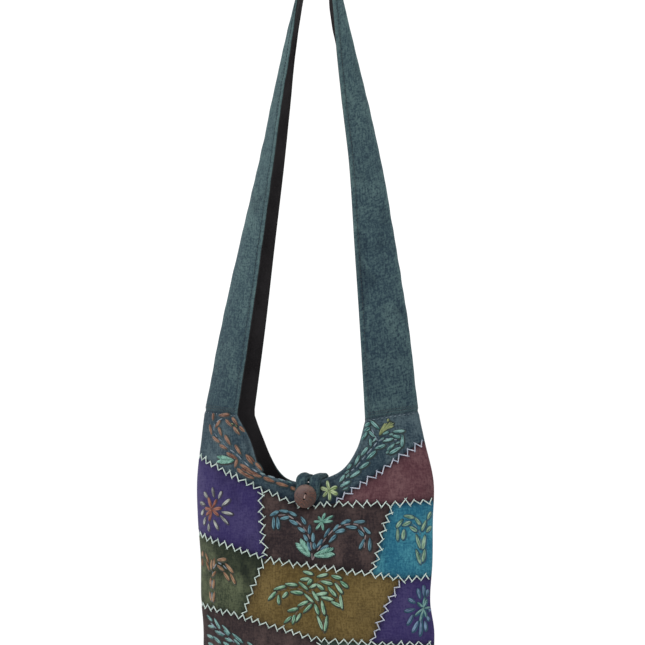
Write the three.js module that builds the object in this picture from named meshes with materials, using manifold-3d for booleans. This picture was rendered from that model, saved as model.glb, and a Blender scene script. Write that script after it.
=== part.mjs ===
// An embroidered patchwork hobo bag, shown hanging by its shoulder strap.
// Millimetres, +Z up, +X to the right as the front is seen, +Y from the front to the back.
// The origin is the underside of the strap at its top, where a hook carries the bag.

import * as THREE from "three";
import { mergeVertices } from "three/addons/utils/BufferGeometryUtils.js";
import Module from "manifold-3d";

const wasm = await Module();
wasm.setup();

// Cloth walls and the clearances between neighbouring pieces.
const CLOTH = 1.5;
const LINING = 1.0;
const LINING_GAP = 1.8;
const LINING_RISE = 12;
const SEAM_GAP = 0.3;
const STRAP_STACK = CLOTH + SEAM_GAP + LINING;

// The two sides of the bag, by the way they face along Y.
const FRONT = -1;
const BACK = 1;

// Outline and fullness of the body by height: side seams in X, depth of the front and back walls.
const OUTLINE = [
  { z: -1000, left: -157.0, right: 149.0, front: 38, back: 27 },
  { z: -940, left: -158.5, right: 151.5, front: 43, back: 30 },
  { z: -895, left: -158.5, right: 153.5, front: 47, back: 32 },
  { z: -857, left: -161.5, right: 148.0, front: 50, back: 33 },
  { z: -806, left: -162.0, right: 151.0, front: 52, back: 33 },
  { z: -756, left: -166.0, right: 151.5, front: 52, back: 31 },
  { z: -705, left: -167.0, right: 152.5, front: 52, back: 30 },
  { z: -654, left: -161.0, right: 140.5, front: 54, back: 32 },
  { z: -617, left: -156.0, right: 132.5, front: 55, back: 33 },
  { z: -560, left: -144.5, right: 124.5, front: 56, back: 33 },
];
const BOTTOM_Z = OUTLINE[0].z;
const CORNER_R = 28;
const BOTTOM_ROUND = 85;

// The button draws both walls together at the middle of the mouth.
const PINCH = { x: -9, z: -707, spreadX: 42, spreadZ: 55, front: 28, back: 40 };

// Neckline by height: its place on the front and back walls, in shares of the half width from the middle.
const HORN_SHARE = 0.6;
const STRAP_SEAM = { leftOuter: -617, leftInner: -621.5, rightOuter: -616, rightInner: -626 };
const NECKLINE = [
  { z: STRAP_SEAM.leftInner, front: -HORN_SHARE, back: -HORN_SHARE },
  { z: -652, front: -0.46, back: -0.51 },
  { z: -692, front: -0.357, back: -0.375 },
  { z: -705.5, front: -0.24, back: -0.24 },
  { z: -707.5, front: 0.0, back: 0.0 },
  { z: -700, front: 0.2, back: 0.2 },
  { z: -688, front: 0.36, back: 0.36 },
  { z: -661, front: 0.5, back: 0.5 },
  { z: STRAP_SEAM.rightInner, front: HORN_SHARE, back: HORN_SHARE },
];

// Junctions of the patchwork seams on the front, as [share of the half width, height].
const J = {
  yokeLeft: [-1, -674],
  yokePurple: [-0.358, -716],
  yokeLow: [-0.03, -738],
  yokeMaroon: [0.248, -733],
  yokeRight: [1, -654],
  maroonAqua: [0.716, -733],
  maroonRight: [1, -729],
  purpleLow: [-1, -774],
  fourPatches: [-0.329, -804],
  brownAqua: [0.571, -822],
  ochreAqua: [0.802, -828],
  aquaRight: [1, -825.5],
  oliveLow: [-1, -864.5],
  oliveOchre: [-0.556, -879],
  ochreLow: [0.104, -905.5],
  ochrePurple: [0.532, -909],
  purpleRight: [1, -911],
  bottomLeft: [-1, BOTTOM_Z],
  bottomSeam: [0.2, BOTTOM_Z],
  bottomRight: [1, BOTTOM_Z],
};
// Grid lines crowd towards the side and bottom seams by this power.
const CROWDING = 1.7;
// Share of a border that the maroon patch's sharp corner gives up.
const TIP_CUT = 0.04;

// Strap by height: fold line of each half in X, then how far its edges lie in from the fold, and how deep.
const STRAP = [
  { z: -505, left: -132.4, right: 118.2, frontIn: 51.5, deep: 38, leftIn: 50, rightIn: 52, backDeep: 24 },
  { z: -400, left: -107.4, right: 100.6, frontIn: 42, deep: 36, leftIn: 38, rightIn: 44, backDeep: 24 },
  { z: -300, left: -82.7, right: 81.7, frontIn: 31, deep: 33, leftIn: 26, rightIn: 38, backDeep: 23 },
  { z: -222, left: -64.8, right: 63.5, frontIn: 23.3, deep: 30, leftIn: 16.5, rightIn: 33, backDeep: 22 },
  { z: -159, left: -50.0, right: 47.3, frontIn: 17, deep: 22, leftIn: 9.5, rightIn: 29, backDeep: 18 },
  { z: -95, left: -33.0, right: 31.7, frontIn: 8.4, deep: 18, leftIn: 3, rightIn: 24.5, backDeep: 16 },
  { z: -40, left: -19.5, right: 19.5, frontIn: 4, deep: 19, leftIn: 3, rightIn: 9, backDeep: 18 },
];
// The bend over the hook: radius of the fold line, and the near-flat section that lies there.
const BEND_R = 12.5;
const BEND_ANGLES = [166, 130, 90, 50, 14];
const BEND_SECTION = { frontIn: 3, frontDeep: 20, backIn: 3, backDeep: 19 };

// Button, its thread post and its fabric loop.
const BUTTON = { x: -4.8, z: -724.4, r: 15, thick: 3.6, dome: 1.2, holeR: 1.2, holeStep: 7.4, holeTilt: 20 };
const SHANK_R = 1.6;
const LOOP = {
  r: 4.2,
  left: { backX: -9, frontX: -16.5, topZ: -699.5 },
  right: { backX: 9, frontX: 5.2, topZ: -699.5 },
  lowZ: -734,
  clear: 1.1,
};

// Cubic interpolation of every column of a table, along its column of that name.
function rowAt(table, along, at) {
  const last = table.length - 1;
  let i = 0;
  while (i < last - 1 && at > table[i + 1][along]) i += 1;
  const slope = (k, column) => {
    const a = table[Math.max(k - 1, 0)];
    const b = table[Math.min(k + 1, last)];
    return (b[column] - a[column]) / (b[along] - a[along]);
  };
  const [p, q] = [table[i], table[i + 1]];
  const step = q[along] - p[along];
  const f = (at - p[along]) / step;
  const row = {};
  for (const column of Object.keys(p)) {
    row[column] =
      (2 * f ** 3 - 3 * f ** 2 + 1) * p[column] +
      (f ** 3 - 2 * f ** 2 + f) * step * slope(i, column) +
      (3 * f ** 2 - 2 * f ** 3) * q[column] +
      (f ** 3 - f ** 2) * step * slope(i + 1, column);
  }
  return row;
}

// Depth of a soft wall across the bag: part parabola, part half ellipse, 1 in the middle and 0 at a seam.
function lens(s) {
  const rest = Math.max(0, 1 - s * s);
  return 0.5 * rest + 0.5 * Math.sqrt(rest);
}

const clamp01 = (v) => Math.min(1, Math.max(0, v));
const mix = (a, b, f) => a + (b - a) * f;
const mixPair = (a, b, f) => [mix(a[0], b[0], f), mix(a[1], b[1], f)];

// A point of the front or back wall's outer face, from its share of the half width and its height.
// With an inset and a rise it is the same wall drawn in on every side and closed further up.
function wallPoint(side, s, z, inset = 0, rise = 0) {
  const row = rowAt(OUTLINE, "z", z);
  const aboveBottom = z - BOTTOM_Z - rise;
  const corner = CORNER_R * (1 - Math.sqrt(1 - clamp01(1 - aboveBottom / CORNER_R) ** 2));
  const half = (row.right - row.left) / 2 - corner - inset;
  const x = (row.left + row.right) / 2 + half * s;
  const fullness = lens(s) * lens(clamp01(1 - aboveBottom / BOTTOM_ROUND));
  const drawn = Math.exp(-(((x - PINCH.x) / PINCH.spreadX) ** 2) - ((z - PINCH.z) / PINCH.spreadZ) ** 2);
  const frontY = PINCH.front * drawn - (row.front - inset) * fullness;
  const backY = (row.back - inset) * fullness - PINCH.back * drawn;
  return new THREE.Vector3(x, side === FRONT ? frontY : backY, z);
}

// Outward unit normal of a surface function at two parameters, by small steps that stay inside their limits.
function normalOf(point, a, b, limits, outward) {
  const step = (v, [low, high], d) => [Math.max(low, v - d), Math.min(high, v + d)];
  const [a0, a1] = step(a, limits.a, limits.stepA);
  const [b0, b1] = step(b, limits.b, limits.stepB);
  const da = point(a1, b).sub(point(a0, b));
  const db = point(a, b1).sub(point(a, b0));
  return da.cross(db).normalize().multiplyScalar(outward);
}

const WALL_LIMITS = { a: [-1, 1], b: [BOTTOM_Z, -560], stepA: 0.01, stepB: 1 };
const onSeam = (place) => Math.abs(place[0]) === 1;

// Outward normal of a wall; on the side and bottom seams it is the normal of the outline in their plane.
function wallNormal(side, s, z) {
  if (z === BOTTOM_Z) return new THREE.Vector3(0, 0, -1);
  if (!onSeam([s, z])) return normalOf((a, b) => wallPoint(side, a, b), s, z, WALL_LIMITS, -side);
  const run = wallPoint(side, s, z + 1).sub(wallPoint(side, s, Math.max(z - 1, BOTTOM_Z)));
  return new THREE.Vector3(s * run.z, 0, -s * run.x).normalize();
}

// A point inside the wall by a depth, kept on its own side of the plane of the side and bottom seams.
function insideWall(side, s, z, depth) {
  const p = wallPoint(side, s, z).addScaledVector(wallNormal(side, s, z), -depth);
  p.y = side === FRONT ? Math.min(p.y, -SEAM_GAP / 2) : Math.max(p.y, SEAM_GAP / 2);
  return p;
}

// A closed solid from grids of points: each grid gives its outer and inner points, and free edges get a rim.
function sheetSolid(sheets) {
  const outer = [];
  const inner = [];
  const triangles = [];
  for (const { columns, rows, at, flip } of sheets) {
    const first = outer.length;
    for (let j = 0; j <= rows; j += 1) {
      for (let i = 0; i <= columns; i += 1) {
        const [o, n] = at(i / columns, j / rows);
        outer.push(o);
        inner.push(n);
      }
    }
    for (let j = 0; j < rows; j += 1) {
      for (let i = 0; i < columns; i += 1) {
        const a = first + j * (columns + 1) + i;
        const [b, c, d] = [a + 1, a + columns + 2, a + columns + 1];
        for (const t of [[a, d, c], [a, c, b]]) triangles.push(flip ? [t[0], t[2], t[1]] : t);
      }
    }
  }
  const key = (p) => [p.x, p.y, p.z].map((v) => Math.round(v * 1e3)).join();
  const edges = new Map();
  for (const t of triangles) {
    for (let k = 0; k < 3; k += 1) {
      const [p, q] = [t[k], t[(k + 1) % 3]];
      const names = [key(outer[p]), key(outer[q])];
      const back = names[1] + "|" + names[0];
      if (edges.has(back)) edges.delete(back);
      else edges.set(names.join("|"), [p, q]);
    }
  }
  const corners = [];
  for (const [p, q, r] of triangles) {
    corners.push(outer[p], outer[q], outer[r], inner[p], inner[r], inner[q]);
  }
  for (const [p, q] of edges.values()) {
    corners.push(outer[q], outer[p], inner[p], outer[q], inner[p], inner[q]);
  }
  return mergeVertices(new THREE.BufferGeometry().setFromPoints(corners), 1e-3);
}

// Local share along a border segment, crowded towards an end that lies on a side seam.
function crowd(share, start, end) {
  if (onSeam(start) === onSeam(end)) return share;
  return onSeam(start) ? share ** CROWDING : 1 - (1 - share) ** CROWDING;
}

// The place on a border whose corners are given by grid column.
function onBorder(border, column) {
  const corners = Object.entries(border).map(([at, place]) => ({ at: Number(at), place }));
  let i = 0;
  while (i < corners.length - 2 && column > corners[i + 1].at) i += 1;
  const [a, b] = [corners[i], corners[i + 1]];
  return mixPair(a.place, b.place, crowd((column - a.at) / (b.at - a.at), a.place, b.place));
}

// A patch of the front: ruled between its top and bottom borders, half a gap back from its neighbours.
function patch({ top, bottom, rows }) {
  const columns = Math.max(...Object.keys(top).map(Number));
  const [left, right] = [onSeam(top[0]), onSeam(top[columns])];
  const width = 0.5 * SEAM_GAP / 12;
  const height = 0.5 * SEAM_GAP / 60;
  const closed = bottom[0][1] === BOTTOM_Z;
  const [low, high] = [left ? 0 : width, right ? columns : columns - width];
  const columnAt = (f) => Math.min(Math.max(f * columns, low), high);
  const drop = (g) => (closed ? mix(1, height, (1 - g) ** CROWDING) : mix(height, 1 - height, g));
  const at = (f, g) => {
    const column = columnAt(f);
    const [s, z] = mixPair(onBorder(top, column), onBorder(bottom, column), drop(g));
    return [insideWall(FRONT, s, z, 0), insideWall(FRONT, s, z, CLOTH)];
  };
  return sheetSolid([{ columns, rows, at, flip: false }]);
}

const cutTip = (end) => mixPair(J.yokeMaroon, end, TIP_CUT);

// Top and bottom borders of each patch, with the grid column of every corner.
const PATCHES = {
  patch_purple_left: {
    top: { 0: J.yokeLeft, 8: J.yokePurple },
    bottom: { 0: J.purpleLow, 8: J.fourPatches },
    rows: 6,
  },
  patch_brown_centre: {
    top: { 0: J.yokePurple, 4: J.yokeLow, 7: J.yokeMaroon, 12: J.maroonAqua },
    bottom: { 0: J.fourPatches, 12: J.brownAqua },
    rows: 7,
  },
  patch_maroon_right: {
    top: { 0: cutTip(J.yokeRight), 9: J.yokeRight },
    bottom: { 0: cutTip(J.maroonAqua), 4: J.maroonAqua, 9: J.maroonRight },
    rows: 5,
  },
  patch_aqua_right: {
    top: { 0: J.maroonAqua, 8: J.maroonRight },
    bottom: { 0: J.brownAqua, 3: J.ochreAqua, 8: J.aquaRight },
    rows: 6,
  },
  patch_olive_left: {
    top: { 0: J.purpleLow, 8: J.fourPatches },
    bottom: { 0: J.oliveLow, 8: J.oliveOchre },
    rows: 6,
  },
  patch_ochre_centre: {
    top: { 0: J.fourPatches, 9: J.brownAqua, 12: J.ochreAqua },
    bottom: { 0: J.oliveOchre, 7: J.ochreLow, 12: J.ochrePurple },
    rows: 6,
  },
  patch_purple_right: {
    top: { 0: J.ochreAqua, 7: J.aquaRight },
    bottom: { 0: J.ochrePurple, 7: J.purpleRight },
    rows: 6,
  },
  patch_brown_low: {
    top: { 0: J.oliveLow, 6: J.oliveOchre, 13: J.ochreLow },
    bottom: { 0: J.bottomLeft, 13: J.bottomSeam },
    rows: 7,
  },
  patch_green_low: {
    top: { 0: J.ochreLow, 4: J.ochrePurple, 10: J.purpleRight },
    bottom: { 0: J.bottomSeam, 10: J.bottomRight },
    rows: 7,
  },
};

// The neckline of a wall as a smooth curve of [s, z], from the left strap seam to the right one.
const NECK_ROWS = NECKLINE.map((row, k) => ({ ...row, at: k / (NECKLINE.length - 1) }));

function neckAt(side, share) {
  const row = rowAt(NECK_ROWS, "at", share);
  return [side === FRONT ? row.front : row.back, row.z];
}

// A band from the neckline outwards: its outer border is given at grid columns along the neckline.
function bandPlace(side, border, column, out, gap = SEAM_GAP) {
  const last = Math.max(...Object.keys(border).map(Number));
  const share = column / last;
  const [s, z] = mixPair(neckAt(side, share), onBorder(border, column), out);
  return [s, z - gap * Math.exp(-40 * Math.min(share, 1 - share))];
}

const YOKE_BORDER = {
  0: [-1, STRAP_SEAM.leftOuter],
  6: J.yokeLeft,
  12: J.yokePurple,
  17: J.yokeLow,
  21: J.yokeMaroon,
  31: J.yokeRight,
  35: [1, STRAP_SEAM.rightOuter],
};
const PANEL_BORDER = {
  0: [-1, STRAP_SEAM.leftOuter],
  11: J.bottomLeft,
  21: J.bottomRight,
  32: [1, STRAP_SEAM.rightOuter],
};

function yoke() {
  const held = 1 - 0.5 * SEAM_GAP / 30;
  const at = (f, g) => {
    const column = Math.round(f * 35);
    const free = column > 6 && column < 31;
    const out = (free ? held : 1) * (1 - (1 - g) ** CROWDING);
    const [s, z] = bandPlace(FRONT, YOKE_BORDER, column, out);
    return [insideWall(FRONT, s, z, 0), insideWall(FRONT, s, z, CLOTH)];
  };
  return sheetSolid([{ columns: 35, rows: 6, at, flip: false }]);
}

const PANEL_COLUMNS = 32;
const PANEL_ROWS = 10;

// Rows of a panel crowd towards the neckline and towards the outer seams.
function panelPlace(side, f, g, gap) {
  return bandPlace(side, PANEL_BORDER, f * PANEL_COLUMNS, 0.5 - 0.5 * Math.cos(Math.PI * g), gap);
}

function backPanel() {
  const at = (f, g) => {
    const [s, z] = panelPlace(BACK, f, g);
    return [insideWall(BACK, s, z, 0), insideWall(BACK, s, z, CLOTH)];
  };
  return sheetSolid([{ columns: PANEL_COLUMNS, rows: PANEL_ROWS, at, flip: true }]);
}

// The lining: one pouch of both walls, drawn in from the outer cloth, which share their seam points.
function lining() {
  const insets = [CLOTH + LINING_GAP, CLOTH + LINING_GAP + LINING];
  const sheet = (side) => {
    const at = (f, g) => {
      const [s, z] = panelPlace(side, f, g, 3 * SEAM_GAP);
      return insets.map((inset) => {
        const rise = LINING_RISE + inset;
        const lift = clamp01((PINCH.z - z) / (PINCH.z - BOTTOM_Z));
        return wallPoint(side, s, z + rise * lift, inset, rise);
      });
    };
    return { columns: PANEL_COLUMNS, rows: PANEL_ROWS, at, flip: side === BACK };
  };
  return sheetSolid([sheet(FRONT), sheet(BACK)]);
}

// Stations of the strap from the left seam, over the bend, to the right seam.
function strapStations() {
  const sides = { left: [], right: [] };
  for (const [name, stations] of Object.entries(sides)) {
    const s = name === "left" ? -1 : 1;
    const seamZ = STRAP_SEAM[name + "Outer"];
    const row = rowAt(OUTLINE, "z", seamZ);
    const fall = seamZ - STRAP_SEAM[name + "Inner"];
    const inset = (1 - HORN_SHARE) * (row.right - row.left) / 2;
    const section = {
      frontIn: inset,
      frontDeep: row.front * lens(HORN_SHARE),
      backIn: inset,
      backDeep: row.back * lens(HORN_SHARE),
    };
    stations.push({ x: row[name], z: seamZ, inX: -s, inZ: -fall / inset, ...section });
    for (const r of STRAP) {
      const front = { frontIn: r.frontIn, frontDeep: r.deep };
      const back = { backIn: r[name + "In"], backDeep: r.backDeep };
      stations.push({ x: r[name], z: r.z, ...front, ...back });
    }
  }
  const centreZ = STRAP_STACK - BEND_R;
  const bend = BEND_ANGLES.map((degrees) => {
    const angle = THREE.MathUtils.degToRad(degrees);
    return { x: BEND_R * Math.cos(angle), z: centreZ + BEND_R * Math.sin(angle), ...BEND_SECTION };
  });
  const all = [...sides.left, ...bend, ...sides.right.reverse()];
  let at = 0;
  all.forEach((station, i) => {
    const before = all[Math.max(i - 1, 0)];
    const after = all[Math.min(i + 1, all.length - 1)];
    const along = new THREE.Vector2(after.x - before.x, after.z - before.z).normalize();
    at += Math.hypot(station.x - before.x, station.z - before.z);
    station.at = at;
    station.inX ??= along.y;
    station.inZ ??= -along.x;
  });
  return all;
}

const STATIONS = strapStations();
const STRAP_LENGTH = STATIONS[STATIONS.length - 1].at;

// A point of the strap's outer face: across is -1 at the front edge, 0 on the fold and 1 at the back edge.
function strapPoint(along, across) {
  const row = rowAt(STATIONS, "at", along);
  const side = across < 0 ? "front" : "back";
  const share = Math.abs(across);
  const inward = share * row[side + "In"];
  const curve = lens(1 - share * (1 - HORN_SHARE)) / lens(HORN_SHARE);
  const y = Math.sign(across) * curve * row[side + "Deep"];
  return new THREE.Vector3(row.x + inward * row.inX, y, row.z + inward * row.inZ);
}

const STRAP_LIMITS = { a: [0, STRAP_LENGTH], b: [-1, 1], stepA: 2, stepB: 0.03 };
const STRAP_ACROSS = [-1, -0.62, -0.3, -0.08, 0, 0.08, 0.3, 0.62, 1];

// The places along the strap where it gets a section: the stations, and half way between them.
const STRAP_ALONG = STATIONS.flatMap((station, i) => {
  const before = STATIONS[Math.max(i - 1, 0)];
  return i === 0 ? [station.at] : [(before.at + station.at) / 2, station.at];
});

function strapLayer(from, to) {
  const columns = STRAP_ACROSS.length - 1;
  const rows = STRAP_ALONG.length - 1;
  const at = (f, g) => {
    const across = STRAP_ACROSS[Math.round(f * columns)];
    const along = STRAP_ALONG[Math.round(g * rows)];
    const n = normalOf(strapPoint, along, across, STRAP_LIMITS, 1);
    return [from, to].map((depth) => strapPoint(along, across).addScaledVector(n, -depth));
  };
  return sheetSolid([{ columns, rows, at, flip: false }]);
}

// The share of the half width at a place seen from the front, and the depth of the front wall there.
function shareOf(x, z) {
  const row = rowAt(OUTLINE, "z", z);
  return (x - (row.left + row.right) / 2) / ((row.right - row.left) / 2);
}

function frontY(x, z) {
  return wallPoint(FRONT, shareOf(x, z), z).y;
}

// The front of the loop lies on the yoke, and the button lies on the loop.
const LOOP_Y = (x, z) => frontY(x, z) - LOOP.r - LOOP.clear;
const BUTTON_BACK_Y = LOOP_Y(BUTTON.x, LOOP.lowZ) - LOOP.r - 3 * SEAM_GAP;

function solidOf(geometry) {
  const bare = geometry.clone();
  bare.deleteAttribute("normal");
  bare.deleteAttribute("uv");
  const merged = mergeVertices(bare, 1e-4);
  return new wasm.Manifold(
    new wasm.Mesh({
      numProp: 3,
      vertProperties: merged.attributes.position.array,
      triVerts: new Uint32Array(merged.index.array),
    }),
  );
}

function geometryOf(solid) {
  const { vertProperties, triVerts } = solid.getMesh();
  const geometry = new THREE.BufferGeometry();
  geometry.setAttribute("position", new THREE.BufferAttribute(new Float32Array(vertProperties), 3));
  geometry.setIndex(new THREE.BufferAttribute(new Uint32Array(triVerts), 1));
  return geometry;
}

// A domed round button with a rolled rim and two thread holes, turned to face the front.
function button() {
  const { r, thick, dome, holeR, holeStep, holeTilt } = BUTTON;
  const profile = [
    [0, 0],
    [r - 1.6, 0],
    [r - 0.4, 0.7],
    [r, thick * 0.5],
    [r - 0.5, thick * 0.85],
    [r - 1.8, thick],
    [r * 0.55, thick - dome * 0.4],
    [0, thick - dome * 0.6],
  ].map(([radius, height]) => new THREE.Vector2(radius, height));
  let solid = solidOf(new THREE.LatheGeometry(profile, 28));
  const tilt = THREE.MathUtils.degToRad(holeTilt);
  for (const end of [-1, 1]) {
    const hole = new THREE.CylinderGeometry(holeR, holeR, thick * 4, 10);
    const reach = (end * holeStep) / 2;
    hole.translate(-reach * Math.sin(tilt), 0, reach * Math.cos(tilt));
    solid = solid.subtract(solidOf(hole));
  }
  return geometryOf(solid);
}

// The thread post between the yoke and the button's back.
function shank() {
  const start = frontY(BUTTON.x, BUTTON.z) - 4 * SEAM_GAP;
  const length = start - BUTTON_BACK_Y - SEAM_GAP;
  const geometry = new THREE.CylinderGeometry(SHANK_R, SHANK_R * 1.3, length, 12);
  return geometry.translate(0, -start + length / 2, 0);
}

// A round cloth tube sewn on the back edge of the mouth, over the front edge and once round the post.
function buttonLoop() {
  const { r, left, right, lowZ, clear } = LOOP;
  const stack = CLOTH + LINING_GAP + LINING;
  const rimZ = (x) => rowAt(NECKLINE, "front", shareOf(x, PINCH.z)).z;
  const strand = ({ backX, frontX, topZ }) => {
    const backRim = rimZ(backX);
    const foreRim = rimZ(frontX);
    const backY = wallPoint(BACK, shareOf(backX, backRim), backRim).y - stack / 2;
    const foreY = frontY(frontX, foreRim);
    return [
      [backX, backY + 2, backRim + r + clear],
      [(backX + frontX) / 2, (backY + foreY) / 2 - 1, topZ],
      [frontX, foreY - r + 1, topZ - 2.5],
      [frontX, LOOP_Y(frontX, foreRim - 5) - 0.5, foreRim - 5],
    ];
  };
  const low = (x, z) => [x, LOOP_Y(x, z), z];
  const route = [
    ...strand(left),
    low(left.frontX + 1, lowZ + 10),
    low((left.frontX + right.frontX) / 2, lowZ),
    low(right.frontX - 1, lowZ + 10),
    ...strand(right).reverse(),
  ].map((p) => new THREE.Vector3(...p));
  const section = new THREE.Shape().absarc(0, 0, r, 0, 2 * Math.PI);
  return new THREE.ExtrudeGeometry(section, {
    steps: 28,
    curveSegments: 5,
    bevelEnabled: false,
    extrudePath: new THREE.CatmullRomCurve3(route),
  });
}

// Washed cotton, black lining cloth, and the polished shell of the button.
const cloth = (color) => new THREE.MeshStandardMaterial({ color, roughness: 0.92, metalness: 0 });
const TEAL = cloth(0x3a5058);
const BLACK = cloth(0x1d1b1e);
const SHELL = new THREE.MeshStandardMaterial({ color: 0x6b4433, roughness: 0.35, metalness: 0 });
const PATCH_CLOTH = {
  patch_purple_left: cloth(0x453a66),
  patch_brown_centre: cloth(0x463a3a),
  patch_maroon_right: cloth(0x643f44),
  patch_aqua_right: cloth(0x2f6f85),
  patch_olive_left: cloth(0x4d5442),
  patch_ochre_centre: cloth(0x665431),
  patch_purple_right: cloth(0x3f365e),
  patch_brown_low: cloth(0x463a3b),
  patch_green_low: cloth(0x3a4b40),
};

function piece(name, geometry, material) {
  const mesh = new THREE.Mesh(geometry, material);
  mesh.name = name;
  return mesh;
}

const body = new THREE.Group();
body.add(piece("yoke", yoke(), TEAL));
for (const [name, shape] of Object.entries(PATCHES)) body.add(piece(name, patch(shape), PATCH_CLOTH[name]));
body.add(piece("back_panel", backPanel(), TEAL));
body.add(piece("lining", lining(), BLACK));

const sling = new THREE.Group();
sling.add(piece("strap", strapLayer(0, CLOTH), TEAL));
sling.add(piece("strap_lining", strapLayer(CLOTH + SEAM_GAP, STRAP_STACK), BLACK));

const fastening = new THREE.Group();
fastening.add(piece("button_loop", buttonLoop(), TEAL));
const turned = new THREE.Group();
turned.rotation.x = Math.PI;
turned.position.set(BUTTON.x, 0, BUTTON.z);
const disc = piece("button", button(), SHELL);
disc.position.y = -BUTTON_BACK_Y;
turned.add(disc, piece("button_shank", shank(), BLACK));
fastening.add(turned);

const bag = new THREE.Group();
bag.add(body, sling, fastening);

export default bag;
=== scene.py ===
"""An embroidered patchwork hobo bag that hangs by its strap.

The bag is worked out in millimetres: sheets of cloth over a few curved surfaces, then stitches that lie on
those sheets. Left and right are as the embroidered front is seen, +Y runs from the front to the back.
"""

import bpy
import numpy as np
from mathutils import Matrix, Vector


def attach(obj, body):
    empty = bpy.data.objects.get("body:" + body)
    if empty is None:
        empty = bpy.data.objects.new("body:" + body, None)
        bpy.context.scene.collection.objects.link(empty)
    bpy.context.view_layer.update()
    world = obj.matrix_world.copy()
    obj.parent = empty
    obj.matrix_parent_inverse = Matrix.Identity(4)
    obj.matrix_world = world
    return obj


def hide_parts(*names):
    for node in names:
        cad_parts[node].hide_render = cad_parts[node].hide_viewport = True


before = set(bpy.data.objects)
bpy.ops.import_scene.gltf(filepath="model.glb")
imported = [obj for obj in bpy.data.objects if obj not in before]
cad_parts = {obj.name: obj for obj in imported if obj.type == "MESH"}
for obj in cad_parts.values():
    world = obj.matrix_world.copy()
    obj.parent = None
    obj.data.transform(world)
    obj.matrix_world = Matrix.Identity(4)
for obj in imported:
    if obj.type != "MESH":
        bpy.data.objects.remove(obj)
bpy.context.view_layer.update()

MM = 0.001
FRONT, BACK = -1, 1

# Thickness of the cloth and of the lining, and how close behind the cloth the lining starts.
CLOTH = 1.4
LINING_CLOTH, LINING_GAP = 0.8, 0.05
# The lining comes loose from the cloth on its way down, ends above the bottom, is tucked up at both its ends
# and lies a little below the edge of the mouth.
LINING_LOOSE, LOOSE_RATE = 1.9, 6.0
LINING_RISE = 12.0
LINING_TUCK = 6.0
LINING_LOW = 0.6
# Height at which the body's cloth is walked round for its straight grain, and the points of that walk.
GRAIN_Z, GRAIN_POINTS = -800.0, 201
# Seams: how deep and how wide the cloth dips there, and the strip beside the stitches that lies smooth.
SEAM_DIP, SEAM_WIDE, SEAM_CALM = 1.1, 2.6, 1.5
# How dark the cloth is beside a seam, partly unwashed dye and partly painted shade, and within which
# distance: close by, then more widely.
SEAM_MARKS = ((0.72, 4.8), (0.16, 13.0))
# Puckers across the seams: height, reach and length, and how uneven they are over which distance.
PUCKER_HIGH, PUCKER_REACH, PUCKER_LONG = 0.3, 7.0, 8.5
PUCKER_UNEVEN, PUCKER_DRIFT = 3.0, 60.0
# Hems: width, height and slope of the ridge, then depth and width of the groove of the stitches and how far
# it lies inside the ridge.
HEM_WIDE, HEM_PROUD, HEM_SLOPE = 7.0, 0.45, 2.0
HEM_GROOVE, HEM_GROOVE_WIDE, HEM_STITCH = 0.5, 1.1, 1.5
# Marks of a hem: how dark its groove is and how wide, partly unwashed dye and partly painted shade, how
# rubbed its edge is and how wide. The dark line lies a little inside the ridge.
NECK_HEM = (0.5, 1.6, 0.75, 2.2)
STRAP_HEM = (0.4, 1.8, 0.45, 2.4)
HEM_DARK_IN = 1.0
# A rubbed line beside the strap's seams, on the yoke and on the strap: how much, how far off and how wide.
YOKE_LINE = (0.3, 3.0, 1.2)
STRAP_LINE = (0.4, 4.0, 1.5)
# How much of a seam's dark mark, partly unwashed dye and partly painted shade, shows on the body and on
# the strap where the two are sewn together.
BODY_END_DARK, STRAP_END_DARK = 0.5, 0.6

# Body by height: side seams in X, then how far the front and back walls stand out.
OUTLINE = np.array([
    # height, left, right, front, back
    (-1000, -157.0, 149.0, 38, 27),
    (-940, -158.5, 151.5, 43, 30),
    (-895, -158.5, 153.5, 47, 32),
    (-857, -161.5, 148.0, 50, 33),
    (-806, -162.0, 151.0, 52, 33),
    (-756, -166.0, 151.5, 52, 31),
    (-705, -167.0, 152.5, 52, 30),
    (-654, -161.0, 140.5, 54, 32),
    (-617, -156.0, 132.5, 55, 33),
    (-560, -144.5, 124.5, 56, 33),
])
# Height of the bottom, radius of its corners, and the height over which the walls round in to it.
BOTTOM = -1000.0
CORNER_R = 28.0
BOTTOM_ROUND = 85.0

# The button draws both walls together at the middle of the mouth.
PINCH_X, PINCH_Z = -9.0, -707.0
PINCH_WIDE, PINCH_TALL = 42.0, 55.0
PINCH_FRONT, PINCH_BACK = 28.0, 40.0

# Neckline: its share of the half width and its height, on the front and on the back wall.
HORN_SHARE = 0.6
NECKLINE = np.array([
    # place along it, front share, front height, back share, back height
    (0 / 8, -0.600, -621.5, -0.600, -621.5),
    (1 / 8, -0.460, -652.0, -0.510, -652.0),
    (2 / 8, -0.357, -692.0, -0.375, -692.0),
    (3 / 8, -0.240, -702.0, -0.240, -705.5),
    (4 / 8, 0.000, -707.5, 0.000, -707.5),
    (5 / 8, 0.200, -700.0, 0.200, -700.0),
    (6 / 8, 0.360, -688.0, 0.360, -688.0),
    (7 / 8, 0.500, -661.0, 0.500, -661.0),
    (8 / 8, 0.600, -626.0, 0.600, -626.0),
])
# Outer ends of the strap's seams as share and height, and how far the seams fall to the neckline.
LEFT_TOP, RIGHT_TOP = (-1.0, -617.0), (1.0, -616.0)
LEFT_FALL, RIGHT_FALL = 4.5, 10.0

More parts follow.
